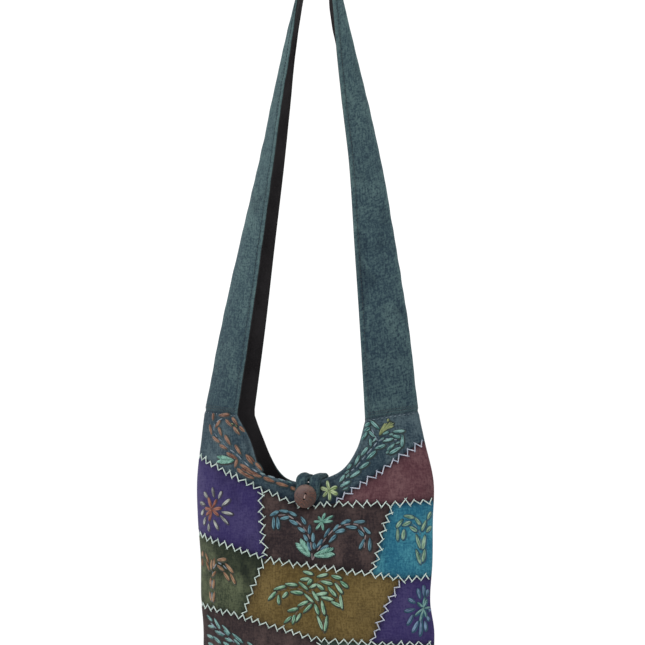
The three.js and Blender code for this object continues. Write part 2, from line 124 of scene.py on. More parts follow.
# Corners of the patchwork: share of the half width, height.
CORNERS = {
    "yoke_left": (-1, -674),
    "yoke_purple": (-0.358, -716),
    "yoke_low": (-0.03, -738),
    "yoke_maroon": (0.248, -733),
    "yoke_right": (1, -654),
    "maroon_aqua": (0.716, -733),
    "maroon_right": (1, -729),
    "purple_low": (-1, -774),
    "four_patches": (-0.329, -804),
    "brown_aqua": (0.571, -822),
    "ochre_aqua": (0.802, -828),
    "aqua_right": (1, -825.5),
    "olive_low": (-1, -864.5),
    "olive_ochre": (-0.556, -879),
    "ochre_low": (0.104, -905.5),
    "ochre_purple": (0.532, -909),
    "purple_right": (1, -911),
    "bottom_left": (-1, BOTTOM),
    "bottom_seam": (0.2, BOTTOM),
    "bottom_right": (1, BOTTOM),
}

# Patches: cloth, then the corners of the top and bottom borders with their share of the way across.
PATCHES = {
    "patch_purple_left": ("purple", {0: "yoke_left", 1: "yoke_purple"}, {0: "purple_low", 1: "four_patches"}),
    "patch_brown_centre": (
        "brown",
        {0: "yoke_purple", 0.33: "yoke_low", 0.58: "yoke_maroon", 1: "maroon_aqua"},
        {0: "four_patches", 1: "brown_aqua"},
    ),
    "patch_maroon_right": (
        "maroon",
        {0: "yoke_maroon", 1: "yoke_right"},
        {0: "yoke_maroon", 0.44: "maroon_aqua", 1: "maroon_right"},
    ),
    "patch_aqua_right": (
        "aqua",
        {0: "maroon_aqua", 1: "maroon_right"},
        {0: "brown_aqua", 0.38: "ochre_aqua", 1: "aqua_right"},
    ),
    "patch_olive_left": ("olive", {0: "purple_low", 1: "four_patches"}, {0: "olive_low", 1: "olive_ochre"}),
    "patch_ochre_centre": (
        "ochre",
        {0: "four_patches", 0.75: "brown_aqua", 1: "ochre_aqua"},
        {0: "olive_ochre", 0.58: "ochre_low", 1: "ochre_purple"},
    ),
    "patch_purple_right": (
        "purple",
        {0: "ochre_aqua", 1: "aqua_right"},
        {0: "ochre_purple", 1: "purple_right"},
    ),
    "patch_brown_low": (
        "brown",
        {0: "olive_low", 0.46: "olive_ochre", 1: "ochre_low"},
        {0: "bottom_left", 1: "bottom_seam"},
    ),
    "patch_green_low": (
        "green",
        {0: "ochre_low", 0.4: "ochre_purple", 1: "purple_right"},
        {0: "bottom_seam", 1: "bottom_right"},
    ),
}
# A patch that runs to a point is cut short there by this share of its width.
TIP_CUT = 0.03

# Outer borders of the yoke and of the back, by the share of the way from the left to the right strap seam.
YOKE_BORDER = {
    0: LEFT_TOP,
    6 / 35: "yoke_left",
    12 / 35: "yoke_purple",
    17 / 35: "yoke_low",
    21 / 35: "yoke_maroon",
    31 / 35: "yoke_right",
    1: RIGHT_TOP,
}
PANEL_BORDER = {0: LEFT_TOP, 11 / 32: "bottom_left", 21 / 32: "bottom_right", 1: RIGHT_TOP}

# Strap by height: fold of each half in X, how far the edges lie in from the fold, and how deep they lie.
STRAP = [
    # height, left, right, front in, front deep, left back in, right back in, back deep
    (-505, -132.4, 118.2, 51.5, 38, 50, 52, 24),
    (-400, -107.4, 100.6, 42, 36, 38, 44, 24),
    (-300, -82.7, 81.7, 31, 33, 26, 38, 23),
    (-222, -64.8, 63.5, 23.3, 30, 16.5, 33, 22),
    (-159, -50.0, 47.3, 17, 22, 9.5, 29, 18),
    (-95, -33.0, 31.7, 8.4, 18, 3, 24.5, 16),
    (-40, -19.5, 19.5, 4, 19, 3, 9, 18),
]
# Bend of the strap over its hook: height of its top, its radius, angles of its sections in degrees, and how
# far in and how deep the front and back edges lie there.
BEND_TOP = 2.8
BEND_R = 12.5
BEND_ANGLES = (166, 130, 90, 50, 14)
BEND_SECTION = (3, 20, 3, 19)
# Half of the strap's width as it lies flat, and the distance from its seams over which its relief dies away.
STRAP_HALF, STRAP_CALM = 60.0, 30.0
# Long creases and ripples of the strap: seed, height, how many times as long as wide, and width.
STRAP_RIPPLES = ((21, 0.5, 7, 30), (22, 0.3, 1, 34))
# Small steps along and across the strap for its slopes, and how much its grid crowds round the fold.
STRAP_STEP, STRAP_SHARE_STEP, STRAP_CROWD = 2.0, 0.02, 1.5
# Both halves of the strap are rubbed paler from one height to another, and darker from a third one down.
STRAP_FADES = {"left": (-560.0, -300.0), "right": (-420.0, -120.0)}
STRAP_FADED = 0.42
STRAP_DEEP, STRAP_DEEP_LONG, STRAP_DARK = -480.0, 90.0, 0.22
# How rubbed the strap's fold is, and how wide.
FOLD_WORN, FOLD_WIDE = 0.3, 2.5

# Rows and columns of the sheets.
PATCH_GRID = (52, 64)
YOKE_GRID = (44, 240)
PANEL_GRID = (96, 190)
LINING_GRID = (60, 130)
STRAP_GRID = (400, 49)
STRAP_LINING_GRID = (300, 41)
# How much a grid crowds towards a side seam.
CROWD = 1.6

# Button: centre, radius, thickness, dome and dish of its front, then its two holes, their step and tilt.
BUTTON_X, BUTTON_Z, BUTTON_R = -4.8, -724.4, 15.0
BUTTON_THICK, BUTTON_DOME, BUTTON_DISH = 3.6, 1.6, 0.3
BUTTON_RINGS, BUTTON_SIDES = 96, 96
HOLE_R, HOLE_STEP, HOLE_TILT = 1.3, 7.0, np.radians(-18)
HOLE_WAY = np.array([-np.sin(HOLE_TILT), np.cos(HOLE_TILT)])
# How deep the holes are, how far their edge is rounded, and the height over the back where they start.
HOLE_DEEP, HOLE_ROUND, HOLE_FLOOR = 1.9, 0.35, 1.2

# Loop: how far its middle stays off the cloth, with some clearance, and the height of its lowest point.
LOOP_R, LOOP_CLEAR = 4.2, 1.1
LOOP_LOW = -734.0
# Strands of the loop: X on the back and on the front edge of the mouth, and height of their tops.
LOOP_STRANDS = ((-9.0, -13.8, -700.5), (6.0, 4.8, -701.5))
# How far a strand is eased backwards where it is sewn on, over the mouth, at the front edge and on the yoke,
# and how far it falls to the front edge and then to the yoke.
EASE_SEWN, EASE_OVER, EASE_EDGE, EASE_YOKE = 2.0, -1.0, 1.0, -0.5
FALL_EDGE, FALL_YOKE = 2.5, 5.0
# Bend of the loop round the button's post: X and height over its lowest point.
LOOP_BEND = ((-15.5, 10), (-5.6, 0), (4.2, 10))
# How far the loop is sewn before the back wall, and how far the button lies before the loop.
LOOP_SEWN, LOOP_TO_BUTTON = 2.15, 0.9
# Point inside the mouth's rim that the loop's broad side faces away from.
LOOP_RIM = np.array([0, 2.0, -722.0])
# Half of the loop's width and thickness, and the rings and sides of its mesh.
LOOP_HALF_WIDE, LOOP_HALF_THICK = 7.6, 5.0
LOOP_RINGS, LOOP_SIDES = 110, 32
# Powers of the sine and cosine that square the loop's section across and through it.
LOOP_SQUARE_WIDE, LOOP_SQUARE_THICK = 0.7, 0.8
# Creases of the loop: how many, how deep, how their depth wavers along it, and how rubbed their ridges are.
LOOP_CREASES, CREASE_DEEP, CREASE_WORN = 7, 0.08, 0.35
CREASE_STEADY, CREASE_WAVER, CREASE_LONG = 0.6, 0.4, 7.0
# How rubbed the loop's edges are and within which share of its thickness, and how unwashed it is all over.
LOOP_WORN, LOOP_WORN_WIDE, LOOP_DARK = 0.3, 0.35, 0.1
# Behind the button the loop is drawn in to this share of its width, over this distance.
LOOP_DRAWN, LOOP_DRAWN_LONG = 0.66, 20.0


# Numbers


def rows_at(table, at):
    """Every column of a table at places along its first one: cubic pieces that pass through the rows, with
    the slope at a row taken from the line through its two neighbours."""
    at = np.asarray(at, float)
    along = table[:, 0]
    last = len(table) - 1
    order = np.arange(last + 1)
    before, after = np.maximum(order - 1, 0), np.minimum(order + 1, last)
    slope = (table[after] - table[before]) / (along[after] - along[before])[:, None]
    i = np.clip(np.searchsorted(along, at) - 1, 0, last - 1)
    step = (along[i + 1] - along[i])[..., None]
    f = ((at - along[i])[..., None]) / step
    start = (2 * f**3 - 3 * f**2 + 1) * table[i] + (f**3 - 2 * f**2 + f) * step * slope[i]
    end = (3 * f**2 - 2 * f**3) * table[i + 1] + (f**3 - f**2) * step * slope[i + 1]
    return start + end


def lens(s):
    """Depth of a soft wall across the bag: part parabola, part half ellipse, 1 in the middle, 0 at a seam."""
    rest = np.clip(1 - np.square(s), 0, None)
    return 0.5 * rest + 0.5 * np.sqrt(rest)


def unit(v):
    """Vectors drawn to length one."""
    return v / np.maximum(np.linalg.norm(v, axis=-1, keepdims=True), 1e-9)


def bell(away, wide):
    """A bell curve of a distance: e to the power of minus the square of the distance over the width."""
    return np.exp(-((away / wide) ** 2))


def spot(x, z, middle_x, middle_z, across, up):
    """A round spot that falls off from 1 in its middle as a bell curve across and up."""
    return np.exp(-(((x - middle_x) / across) ** 2) - ((z - middle_z) / up) ** 2)


def between(start, end, share):
    """Places by their share of the straight way from a start to an end."""
    return start * (1 - share) + end * share


# Waves of a ripple: how many, their lengths as shares of its size, and the height that their sum comes to.
WAVES, WAVE_LENGTHS, WAVE_SUM = 9, (0.7, 1.6), 4.2


def ripple(seed, a, b, size):
    """A smooth uneven height of about -1 to 1: the sum of waves of one rough length in seeded directions."""
    rng = np.random.default_rng(seed)
    turn = rng.uniform(0, np.pi, WAVES)
    wave = rng.uniform(*WAVE_LENGTHS, WAVES) * size
    phase = rng.uniform(0, 2 * np.pi, WAVES)
    along = np.multiply.outer(a, np.cos(turn)) + np.multiply.outer(b, np.sin(turn))
    return np.sin(2 * np.pi * along / wave + phase).sum(-1) / WAVE_SUM


def walked_along(points):
    """Distance walked along a row of points up to each of them."""
    return np.concatenate([[0], np.cumsum(np.linalg.norm(np.diff(points, axis=0), axis=-1))])


def run_lengths(points, axis):
    """Distance walked along a grid of points up to each of them, in the direction of one axis."""
    steps = np.linalg.norm(np.diff(points, axis=axis), axis=-1)
    walked = np.cumsum(steps, axis=axis)
    pad = [(0, 0), (0, 0)]
    pad[axis] = (1, 0)
    return np.pad(walked, pad)


# Body


# Small steps of the share and of the height for the slopes of a wall.
SHARE_STEP, HEIGHT_STEP = 0.004, 0.5


def wall(side, s, z, inset=0.0, rise=0.0):
    """Front or back wall: across by the share s of the half width, up by height. Its depth is the lens curve
    across times the lens curve towards the bottom, less a round dent where the button draws the mouth in."""
    _, left, right, front, back = np.moveaxis(rows_at(OUTLINE, z), -1, 0)
    above = z - BOTTOM - rise
    corner = CORNER_R * (1 - np.sqrt(1 - np.clip(1 - above / CORNER_R, 0, 1) ** 2))
    x = (left + right) / 2 + ((right - left) / 2 - corner - inset) * s
    full = lens(s) * lens(np.clip(1 - above / BOTTOM_ROUND, 0, 1))
    drawn = spot(x, z, PINCH_X, PINCH_Z, PINCH_WIDE, PINCH_TALL)
    if side == FRONT:
        y = PINCH_FRONT * drawn - (front - inset) * full
    else:
        y = (back - inset) * full - PINCH_BACK * drawn
    return np.stack(np.broadcast_arrays(x, y, z), -1)


def beside(s):
    """Shares a small step to the left and to the right of others, kept on the wall."""
    return np.clip(s - SHARE_STEP, -1, 1), np.clip(s + SHARE_STEP, -1, 1)


def wall_frame(side, s, z):
    """Point of a wall, its tangent to the right and upwards, and its outward normal, by small steps."""
    s, z = np.broadcast_arrays(np.asarray(s, float), np.asarray(z, float))
    left, right = beside(s)
    across = unit(wall(side, right, z) - wall(side, left, z))
    rising = wall(side, s, z + HEIGHT_STEP) - wall(side, s, np.maximum(z - HEIGHT_STEP, BOTTOM))
    normal = -side * unit(np.cross(across, rising))
    up = -side * np.cross(normal, across)
    return wall(side, s, z), across, up, normal


# Soft folds of the front: ends in X and height, then how wide and how high the fold is.
FRONT_FOLDS = [
    (-140, -634, -34, -716, 9, 1.7),
    (-128, -690, -36, -724, 10, -1.1),
    (116, -640, 26, -712, 9, 1.7),
    (92, -676, 20, -722, 8, -1.1),
    (-132, -700, -126, -980, 15, 1.3),
    (118, -760, 112, -980, 15, 1.2),
    (-150, -790, -60, -830, 13, 0.9),
    (60, -860, 145, -900, 14, 0.9),
    (-100, -960, 110, -955, 16, 1.2),
]
# Soft folds of the back, in the same way.
BACK_FOLDS = [
    (-140, -640, -36, -724, 9, 3.0),
    (-134, -672, -70, -760, 10, 2.4),
    (120, -640, 26, -726, 9, 3.2),
    (122, -690, 74, -770, 11, 2.2),
    (-96, -760, -66, -960, 13, 2.8),
    (-20, -760, -30, -930, 15, 1.8),
    (28, -730, 16, -930, 14, -1.6),
    (92, -780, 70, -965, 13, 2.8),
    (-120, -952, -10, -966, 12, 2.0),
    (10, -962, 120, -956, 12, 2.0),
]


def fold_height(folds, x, z):
    """Height of soft folds: each is a bell curve of the distance to a line between two ends."""
    height = np.zeros(np.broadcast(x, z).shape)
    for x0, z0, x1, z1, wide, high in folds:
        run = np.array([x1 - x0, z1 - z0], float)
        share = np.clip(((x - x0) * run[0] + (z - z0) * run[1]) / (run @ run), 0, 1)
        away = np.hypot(x - x0 - share * run[0], z - z0 - share * run[1])
        height += high * bell(away, wide)
    return height


def strap_seam(s):
    """Height of the strap's seam, which falls evenly from the side to the neckline."""
    left = s < 0
    fall = np.where(left, LEFT_FALL, RIGHT_FALL) / (1 - HORN_SHARE)
    return np.where(left, LEFT_TOP[1], RIGHT_TOP[1]) - fall * (1 - np.abs(s))


# Ripples of the body's cloth: seed, height and length. With the folds they die away to the sides by this
# power of the share, and within these distances of the bottom and of the strap's seam.
BODY_RIPPLES = ((5, 0.7, 85), (9, 0.22, 26))
CALM_POWER, CALM_BOTTOM, CALM_STRAP = 10, 40.0, 18.0


def cloth(side, s, z):
    """Outer face of the body's cloth: the wall, raised along its normal by folds and uneven ripples that die
    away at the side, bottom and strap seams. Gives the points and the normals."""
    point, _, _, normal = wall_frame(side, s, z)
    x = point[..., 0]
    calm = (1 - np.abs(s) ** CALM_POWER) * np.clip((z - BOTTOM) / CALM_BOTTOM, 0, 1)
    calm = calm * np.clip((strap_seam(s) - z) / CALM_STRAP, 0, 1)
    relief = fold_height(FRONT_FOLDS if side == FRONT else BACK_FOLDS, x, z)
    for seed, high, long in BODY_RIPPLES:
        relief = relief + high * ripple(seed + side, x, z, long)
    return point + normal * (calm * relief)[..., None], normal


# How near to a side seam a stitch may come, as a share of the half width.
STITCH_LIMIT = 0.992


def move_on_front(s, z, right, up):
    """The place on the front that lies so far to the right and up from another, measured on the cloth."""
    _, across, rise, _ = wall_frame(FRONT, s, z)
    low, high = beside(s)
    per_share = np.linalg.norm(wall(FRONT, high, z) - wall(FRONT, low, z), axis=-1) / (high - low)
    per_height = (wall(FRONT, s, z + HEIGHT_STEP) - wall(FRONT, s, z - HEIGHT_STEP)) / (2 * HEIGHT_STEP)
    dz = up / np.sum(per_height * rise, -1)
    ds = (right - dz * np.sum(per_height * across, -1)) / per_share
    return np.stack([np.clip(s + ds, -STITCH_LIMIT, STITCH_LIMIT), z + dz], -1)


def share_at(x, z):
    """The share of the half width at a place seen from the front."""
    _, left, right, _, _ = np.moveaxis(rows_at(OUTLINE, z), -1, 0)
    return (x - (left + right) / 2) / ((right - left) / 2)


def front_y(x, z):
    """Depth of the front wall at a place seen from the front."""
    return float(wall(FRONT, share_at(x, z), np.float64(z))[..., 1])


# Meshes


def make_piece(name, points, faces, uv, marks, material, crease=55):
    """A mesh from arrays: points in millimetres, rows of faces by their number of corners, and for each point
    one UV and one value of each mark."""
    mesh = bpy.data.meshes.new(name)
    mesh.vertices.add(len(points))
    mesh.vertices.foreach_set("co", (points * MM).astype(np.float32).ravel())
    corners = np.concatenate([rows.ravel() for rows in faces]).astype(np.int32)
    counts = np.concatenate([np.full(len(rows), rows.shape[1]) for rows in faces])
    mesh.loops.add(len(corners))
    mesh.loops.foreach_set("vertex_index", corners)
    mesh.polygons.add(len(counts))
    mesh.polygons.foreach_set("loop_start", (np.cumsum(counts) - counts).astype(np.int32))
    mesh.polygons.foreach_set("use_smooth", np.ones(len(counts), bool))
    mesh.uv_layers.new(name="UVMap").data.foreach_set("uv", uv[corners].astype(np.float32).ravel())
    for key, values in marks.items():
        mesh.attributes.new(key, "FLOAT", "POINT").data.foreach_set("value", values.astype(np.float32))
    mesh.update(calc_edges=True)
    mesh.validate()
    mesh.set_sharp_from_angle(angle=np.radians(crease))
    mesh.materials.append(material)
    piece = bpy.data.objects.new(name, mesh)
    bpy.context.scene.collection.objects.link(piece)
    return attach(piece, "root")


def sheet_faces(rows, columns, flip):
    """Quads of a closed sheet: a grid, the same grid turned over behind it, and a rim round both."""
    index = np.arange(rows * columns).reshape(rows, columns)
    a, b, c, d = index[:-1, :-1], index[:-1, 1:], index[1:, 1:], index[1:, :-1]
    front = np.stack([a, b, c, d], -1).reshape(-1, 4)
    back = front[:, ::-1] + rows * columns
    ring = np.concatenate([index[0, :-1], index[:-1, -1], index[-1, :0:-1], index[:0:-1, 0]])
    after = np.roll(ring, -1)
    rim = np.stack([after, ring, ring + rows * columns, after + rows * columns], -1)
    quads = np.concatenate([front, back, rim])
    return quads[:, ::-1] if flip else quads


def closed_sheet(grids):
    """Points, quads and UVs of one or more closed sheets, each from its outer and inner grid of points. Quads
    turn so that they face away from the other side, and UVs are the distances walked on the outer grid."""
    points, quads, uvs, first = [], [], [], 0
    for outer, inner in grids:
        rows, columns = outer.shape[:2]
        u, v = run_lengths(outer, 1), run_lengths(outer, 0)
        facing = np.cross(outer[1:-1, 2:] - outer[1:-1, :-2], outer[2:, 1:-1] - outer[:-2, 1:-1])
        flip = np.sum(facing * (outer - inner)[1:-1, 1:-1]) < 0
        quads.append(sheet_faces(rows, columns, flip) + first)
        flat = np.stack([u, v], -1).reshape(-1, 2) * MM
        points += [outer.reshape(-1, 3), inner.reshape(-1, 3)]
        uvs += [flat, flat]
        first += 2 * rows * columns
    return np.concatenate(points), [np.concatenate(quads)], np.concatenate(uvs)


def tube_faces(count, rings, sides):
    """Quads and end caps of closed tubes, each of so many rings of points with so many sides."""
    index = np.arange(count * rings * sides).reshape(count, rings, sides)
    after = np.roll(index, -1, axis=2)
    quads = np.stack([index[:, :-1], index[:, 1:], after[:, 1:], after[:, :-1]], -1).reshape(-1, 4)
    return quads, np.concatenate([index[:, 0], index[:, -1, ::-1]])


def straight_grain(place):
    """UVs of a body sheet whose threads run upright and level: the distance round the wall at the height of
    the patches' middle, and the height."""
    share = np.linspace(-1, 1, GRAIN_POINTS)
    round_wall = walked_along(wall(FRONT, share, np.full(GRAIN_POINTS, GRAIN_Z)))
    flat = np.stack([np.interp(place[..., 0], share, round_wall), place[..., 1]], -1).reshape(-1, 2) * MM
    return np.concatenate([flat, flat])


def both_faces(values):
    """A mark of the outer grid, repeated for the inner one."""
    return np.concatenate([values.ravel(), values.ravel()])


# Colours and finishes


def colour(red, green, blue):
    """A display colour of 0 to 255 as the linear colour that nodes take."""
    c = np.array([red, green, blue]) / 255
    linear = np.where(c <= 0.04045, c / 12.92, ((c + 0.055) / 1.055) ** 2.4)
    return (*linear.tolist(), 1.0)


# Washed cottons: the cloth's colour, its rubbed tone (also for painted sheen), its dark tone (unwashed dye
# and painted shade), how mottled it is and how grainy.
COTTONS = {
    "teal": ((43, 62, 72), (84, 107, 107), (17, 31, 45), 1.15, 1.3),
    "deep_teal": ((39, 56, 67), (82, 99, 105), (14, 25, 38), 1.7, 1.0),
    "purple": ((45, 37, 83), (78, 72, 108), (20, 15, 44), 0.8, 0.6),
    "brown": ((40, 32, 35), (84, 69, 66), (19, 14, 17), 1.8, 0.7),
    "maroon": ((79, 48, 55), (116, 87, 89), (40, 23, 29), 1.1, 0.75),
    "aqua": ((29, 88, 113), (74, 140, 151), (12, 42, 60), 1.3, 0.9),
    "olive": ((41, 49, 37), (91, 98, 74), (18, 25, 20), 2.0, 0.8),
    "ochre": ((82, 67, 35), (124, 106, 66), (38, 30, 19), 1.0, 0.8),
    "green": ((42, 56, 49), (80, 96, 83), (18, 28, 25), 1.0, 0.9),
}
# Embroidery threads: lit and shaded tone.
THREADS = {
    "ice": ((238, 250, 243), (182, 203, 196)),
    "lilac": ((228, 232, 242), (166, 176, 198)),
    "mint": ((158, 192, 166), (52, 112, 82)),
    "jade": ((152, 200, 184), (32, 106, 88)),
    "sage": ((136, 178, 174), (22, 84, 83)),
    "rust": ((146, 110, 88), (81, 42, 24)),
    "brick": ((118, 80, 64), (60, 28, 20)),
    "coral": ((154, 100, 82), (104, 36, 22)),
    "tan": ((162, 130, 100), (108, 69, 39)),
    "steel": ((104, 146, 158), (12, 62, 82)),
    "sky": ((124, 152, 182), (38, 62, 96)),
    "olive_gold": ((148, 176, 150), (58, 102, 82)),
    "gold": ((160, 172, 118), (80, 94, 48)),
    "lime": ((172, 188, 146), (84, 108, 46)),
    "straw": ((182, 186, 178), (84, 84, 84)),
    "beige": ((168, 152, 152), (92, 80, 84)),
    "bark": ((118, 100, 76), (62, 50, 36)),
    "slate": ((160, 178, 190), (70, 88, 104)),
    "blush": ((228, 204, 196), (160, 122, 114)),
    "navy": ((34, 48, 60), (18, 28, 38)),
    # The dark threads from here on lie under the leaves as painted shadow.
    "dark": ((22, 26, 30), (11, 13, 16)),
    "dark_teal": ((36, 54, 55), (23, 39, 42)),
    "dark_green": ((46, 54, 34), (28, 33, 21)),
    "dark_blue": ((22, 76, 98), (15, 55, 73)),
    "dark_purple": ((40, 32, 66), (24, 20, 44)),
}


def put(tree, kind, inputs=None, **settings):
    """A node in a tree, with its settings and with values or links for its inputs."""
    made = tree.nodes.new(kind)
    for key, value in settings.items():
        setattr(made, key, value)
    for socket, value in (inputs or {}).items():
        if isinstance(value, bpy.types.NodeSocket):
            tree.links.new(value, made.inputs[socket])
        else:
            made.inputs[socket].default_value = value
    return made


def sums(tree, operation, a, b=0.0, clamp=False):
    """The output of a Math node."""
    return put(tree, "ShaderNodeMath", {0: a, 1: b}, operation=operation, use_clamp=clamp).outputs[0]


def times(tree, a, b):
    """The product of two values."""
    return sums(tree, "MULTIPLY", a, b)


def plus(tree, a, b, clamp=False):
    """The sum of two values, kept from 0 to 1 where it is asked."""
    return sums(tree, "ADD", a, b, clamp)


def mixed(tree, share, a, b):
    """The output of a colour Mix node."""
    return put(tree, "ShaderNodeMix", {0: share, 6: a, 7: b}, data_type="RGBA").outputs[2]


def ranged(tree, value, low, high, to_low=0.0, to_high=1.0):
    """The output of a Map Range node, kept inside its range."""
    settings = {"Value": value, "From Min": low, "From Max": high, "To Min": to_low, "To Max": to_high}
    return put(tree, "ShaderNodeMapRange", settings, interpolation_type="SMOOTHSTEP").outputs[0]


def stretched_noise(tree, vector, stretch, detail, roughness=0.55):
    """Noise on a place that is stretched first, so that its grain can be longer one way."""
    place = put(tree, "ShaderNodeVectorMath", {0: vector, 1: stretch}, operation="MULTIPLY").outputs[0]
    settings = {"Vector": place, "Scale": 1.0, "Detail": detail, "Roughness": roughness}
    return put(tree, "ShaderNodeTexNoise", settings).outputs[0]


def new_group(name, inputs, outputs):
    """An empty shader group with named sockets, and its input and output nodes."""
    tree = bpy.data.node_groups.new(name, "ShaderNodeTree")
    for way, sockets in (("INPUT", inputs), ("OUTPUT", outputs)):
        for label, kind in sockets.items():
            tree.interface.new_socket(name=label, in_out=way, socket_type=kind)
    return tree, tree.nodes.new("NodeGroupInput"), tree.nodes.new("NodeGroupOutput")


def put_out(tree, out, *values):
    """Links values to the outputs of a group, in their order."""
    for number, value in enumerate(values):
        tree.links.new(value, out.inputs[number])


# Distance between threads of the weave, in metres, and turns of a stitch's strands along and round it.
WEAVE_STEP = 0.0012
TWIST_ALONG, TWIST_ROUND, TWIST_START = 3.0, 7.0, 0.5
# What every finish group puts out.
FINISH = {"Color": "NodeSocketColor", "Roughness": "NodeSocketFloat", "Height": "NodeSocketFloat"}


def washed_cotton_group():
    """Stone-washed cotton: large soft blotches, slubs along the warp and fine flecks between the cloth's own
    colour and its rubbed tone, dark along the seams with unwashed dye and painted shade, rubbed along the
    edges and in places paler with painted sheen, with a plain weave."""
    inputs = dict.fromkeys(("Place", "Flat"), "NodeSocketVector")
    inputs.update(dict.fromkeys(("Cloth", "Rubbed", "Unwashed and shade"), "NodeSocketColor"))
    inputs.update(dict.fromkeys(("Seam", "Worn", "Mottle", "Grain"), "NodeSocketFloat"))
    tree, given, out = new_group("washed_cotton", inputs, FINISH)
    place, flat, own, pale, dark, sewn_in, rubbed_off, mottle, grainy = list(given.outputs)[:len(inputs)]
    blotch = ranged(tree, stretched_noise(tree, place, (30, 30, 22), 3), 0.4, 0.68, 0.0, 0.34)
    warp_slub = times(tree, stretched_noise(tree, flat, (420, 110, 1), 2), 0.8)
    weft_slub = times(tree, stretched_noise(tree, flat, (110, 420, 1), 2), 0.65)
    fleck = stretched_noise(tree, place, (430, 430, 430), 2, 0.6)
    grain = plus(tree, plus(tree, warp_slub, weft_slub), fleck)
    blotch = times(tree, blotch, mottle)
    bright = times(tree, ranged(tree, grain, 0.93, 1.58, -0.2, 0.5), grainy)
    shade = mixed(tree, plus(tree, blotch, bright, clamp=True), own, pale)
    deep = ranged(tree, stretched_noise(tree, place, (17, 23, 15), 2), 0.5, 0.72, 0.0, 0.5)
    deep = times(tree, deep, mottle)
    dull = times(tree, ranged(tree, grain, 1.2, 0.85, 0.0, 0.4), grainy)
    shade = mixed(tree, plus(tree, deep, dull, clamp=True), shade, dark)
    # Darker beside seams: partly unwashed dye, partly painted shade.
    seam = times(tree, sewn_in, ranged(tree, fleck, 0.2, 0.7, 1.0, 0.75))
    shade = mixed(tree, seam, shade, dark)
    # Paler where rubbed; on the left side of the patches this is painted sheen.
    worn = times(tree, rubbed_off, ranged(tree, grain, 0.9, 1.5, 0.35, 1.0))
    shade = mixed(tree, worn, shade, pale)
    split = put(tree, "ShaderNodeSeparateXYZ", {0: flat})
    warp, weft = (sums(tree, "SINE", times(tree, split.outputs[k], 2 * np.pi / WEAVE_STEP)) for k in (0, 1))
    weave = times(tree, times(tree, warp, weft), 0.22)
    rough = ranged(tree, fleck, 0.3, 0.7, 0.8, 0.95)
    put_out(tree, out, shade, rough, plus(tree, weave, times(tree, grain, 0.6)))
    return tree


def twisted_floss_group():
    """Twisted cotton floss: strands that wind round the stitch with painted shade in the grooves between
    them, and long streaks of painted highlight and painted shade, each stitch of its own tone."""
    inputs = {"Flat": "NodeSocketVector"}
    inputs.update(dict.fromkeys(("Thread", "Shade"), "NodeSocketColor"), Tone="NodeSocketFloat")
    tree, given, out = new_group("twisted_floss", inputs, FINISH)
    flat, lit, shaded, tone = list(given.outputs)[:len(inputs)]
    split = put(tree, "ShaderNodeSeparateXYZ", {0: flat})
    twist = plus(tree, times(tree, split.outputs[0], TWIST_ALONG), TWIST_START)
    wind = times(tree, split.outputs[1], TWIST_ROUND)
    strand = sums(tree, "SINE", times(tree, plus(tree, twist, wind), 2 * np.pi))
    fuzz = stretched_noise(tree, flat, (14, 9, 1), 2)
    streak = stretched_noise(tree, flat, (0.7, 6.5, 1), 2)
    # Painted shade in the grooves between the strands, and long streaks of painted highlight and painted
    # shade.
    groove = ranged(tree, strand, -1.0, 0.3, 0.14, 0.0)
    dull = plus(tree, groove, ranged(tree, streak, 0.62, 0.38, -0.6, 0.5))
    shade = mixed(tree, plus(tree, dull, tone, clamp=True), lit, shaded)
    put_out(tree, out, shade, ranged(tree, fuzz, 0.3, 0.7, 0.5, 0.75), plus(tree, strand, fuzz))
    return tree


WASHED_COTTON = washed_cotton_group()
TWISTED_FLOSS = twisted_floss_group()


def new_material(name):
    """A material with an empty tree, its Principled shader and output."""
    made = bpy.data.materials.new(name)
    made.use_nodes = True
    tree = made.node_tree
    tree.nodes.clear()
    shader = put(tree, "ShaderNodeBsdfPrincipled")
    put(tree, "ShaderNodeOutputMaterial", {0: shader.outputs[0]})
    return made, tree, shader


def mark(tree, name):
    """The value of a piece's own point mark."""
    return put(tree, "ShaderNodeAttribute", attribute_name=name).outputs["Fac"]


def place_in(tree):
    """The place of a point in the bag, in metres."""
    return put(tree, "ShaderNodeTexCoord").outputs["Object"]


def flat_in(tree):
    """The place of a point on the flat cloth of its piece, or along and round its stitch."""
    return put(tree, "ShaderNodeUVMap", uv_map="UVMap").outputs[0]


# Plain words for inputs of the shader.
SHADER_INPUTS = {
    "shine": "Specular IOR Level",
    "sheen": "Sheen Weight",
    "sheen_rough": "Sheen Roughness",
    "sheen_tint": "Sheen Tint",
}


def dress(tree, shader, shade, rough, height=None, bump=0.0, depth=0.0, **settings):
    """Links a colour, a roughness and, through a bump, a height to the shader, and sets its other inputs."""
    tree.links.new(shade, shader.inputs["Base Color"])
    tree.links.new(rough, shader.inputs["Roughness"])
    if height is not None:
        relief = put(tree, "ShaderNodeBump", {"Strength": bump, "Distance": depth, "Height": height})
        tree.links.new(relief.outputs[0], shader.inputs["Normal"])
    for socket, value in settings.items():
        shader.inputs[SHADER_INPUTS[socket]].default_value = value


def cotton(name):
    """Washed cotton of one colour."""
    made, tree, shader = new_material(name + "_cotton")
    *tones, mottle, grain = COTTONS[name]
    # The dark tone stands for unwashed dye and for painted shade.
    own, rubbed, unwashed = (colour(*tone) for tone in tones)
    inputs = {
        "Place": place_in(tree),
        "Flat": flat_in(tree),
        "Seam": mark(tree, "seam"),
        "Worn": mark(tree, "worn"),
        "Cloth": own,
        "Rubbed": rubbed,
        "Unwashed and shade": unwashed,
        "Mottle": mottle,
        "Grain": grain,
    }
    finish = put(tree, "ShaderNodeGroup", inputs, node_tree=WASHED_COTTON).outputs
    sheen = {"sheen": 0.22, "sheen_rough": 0.45, "sheen_tint": rubbed}
    dress(tree, shader, *finish, bump=0.5, depth=0.0008, shine=0.15, **sheen)
    return made


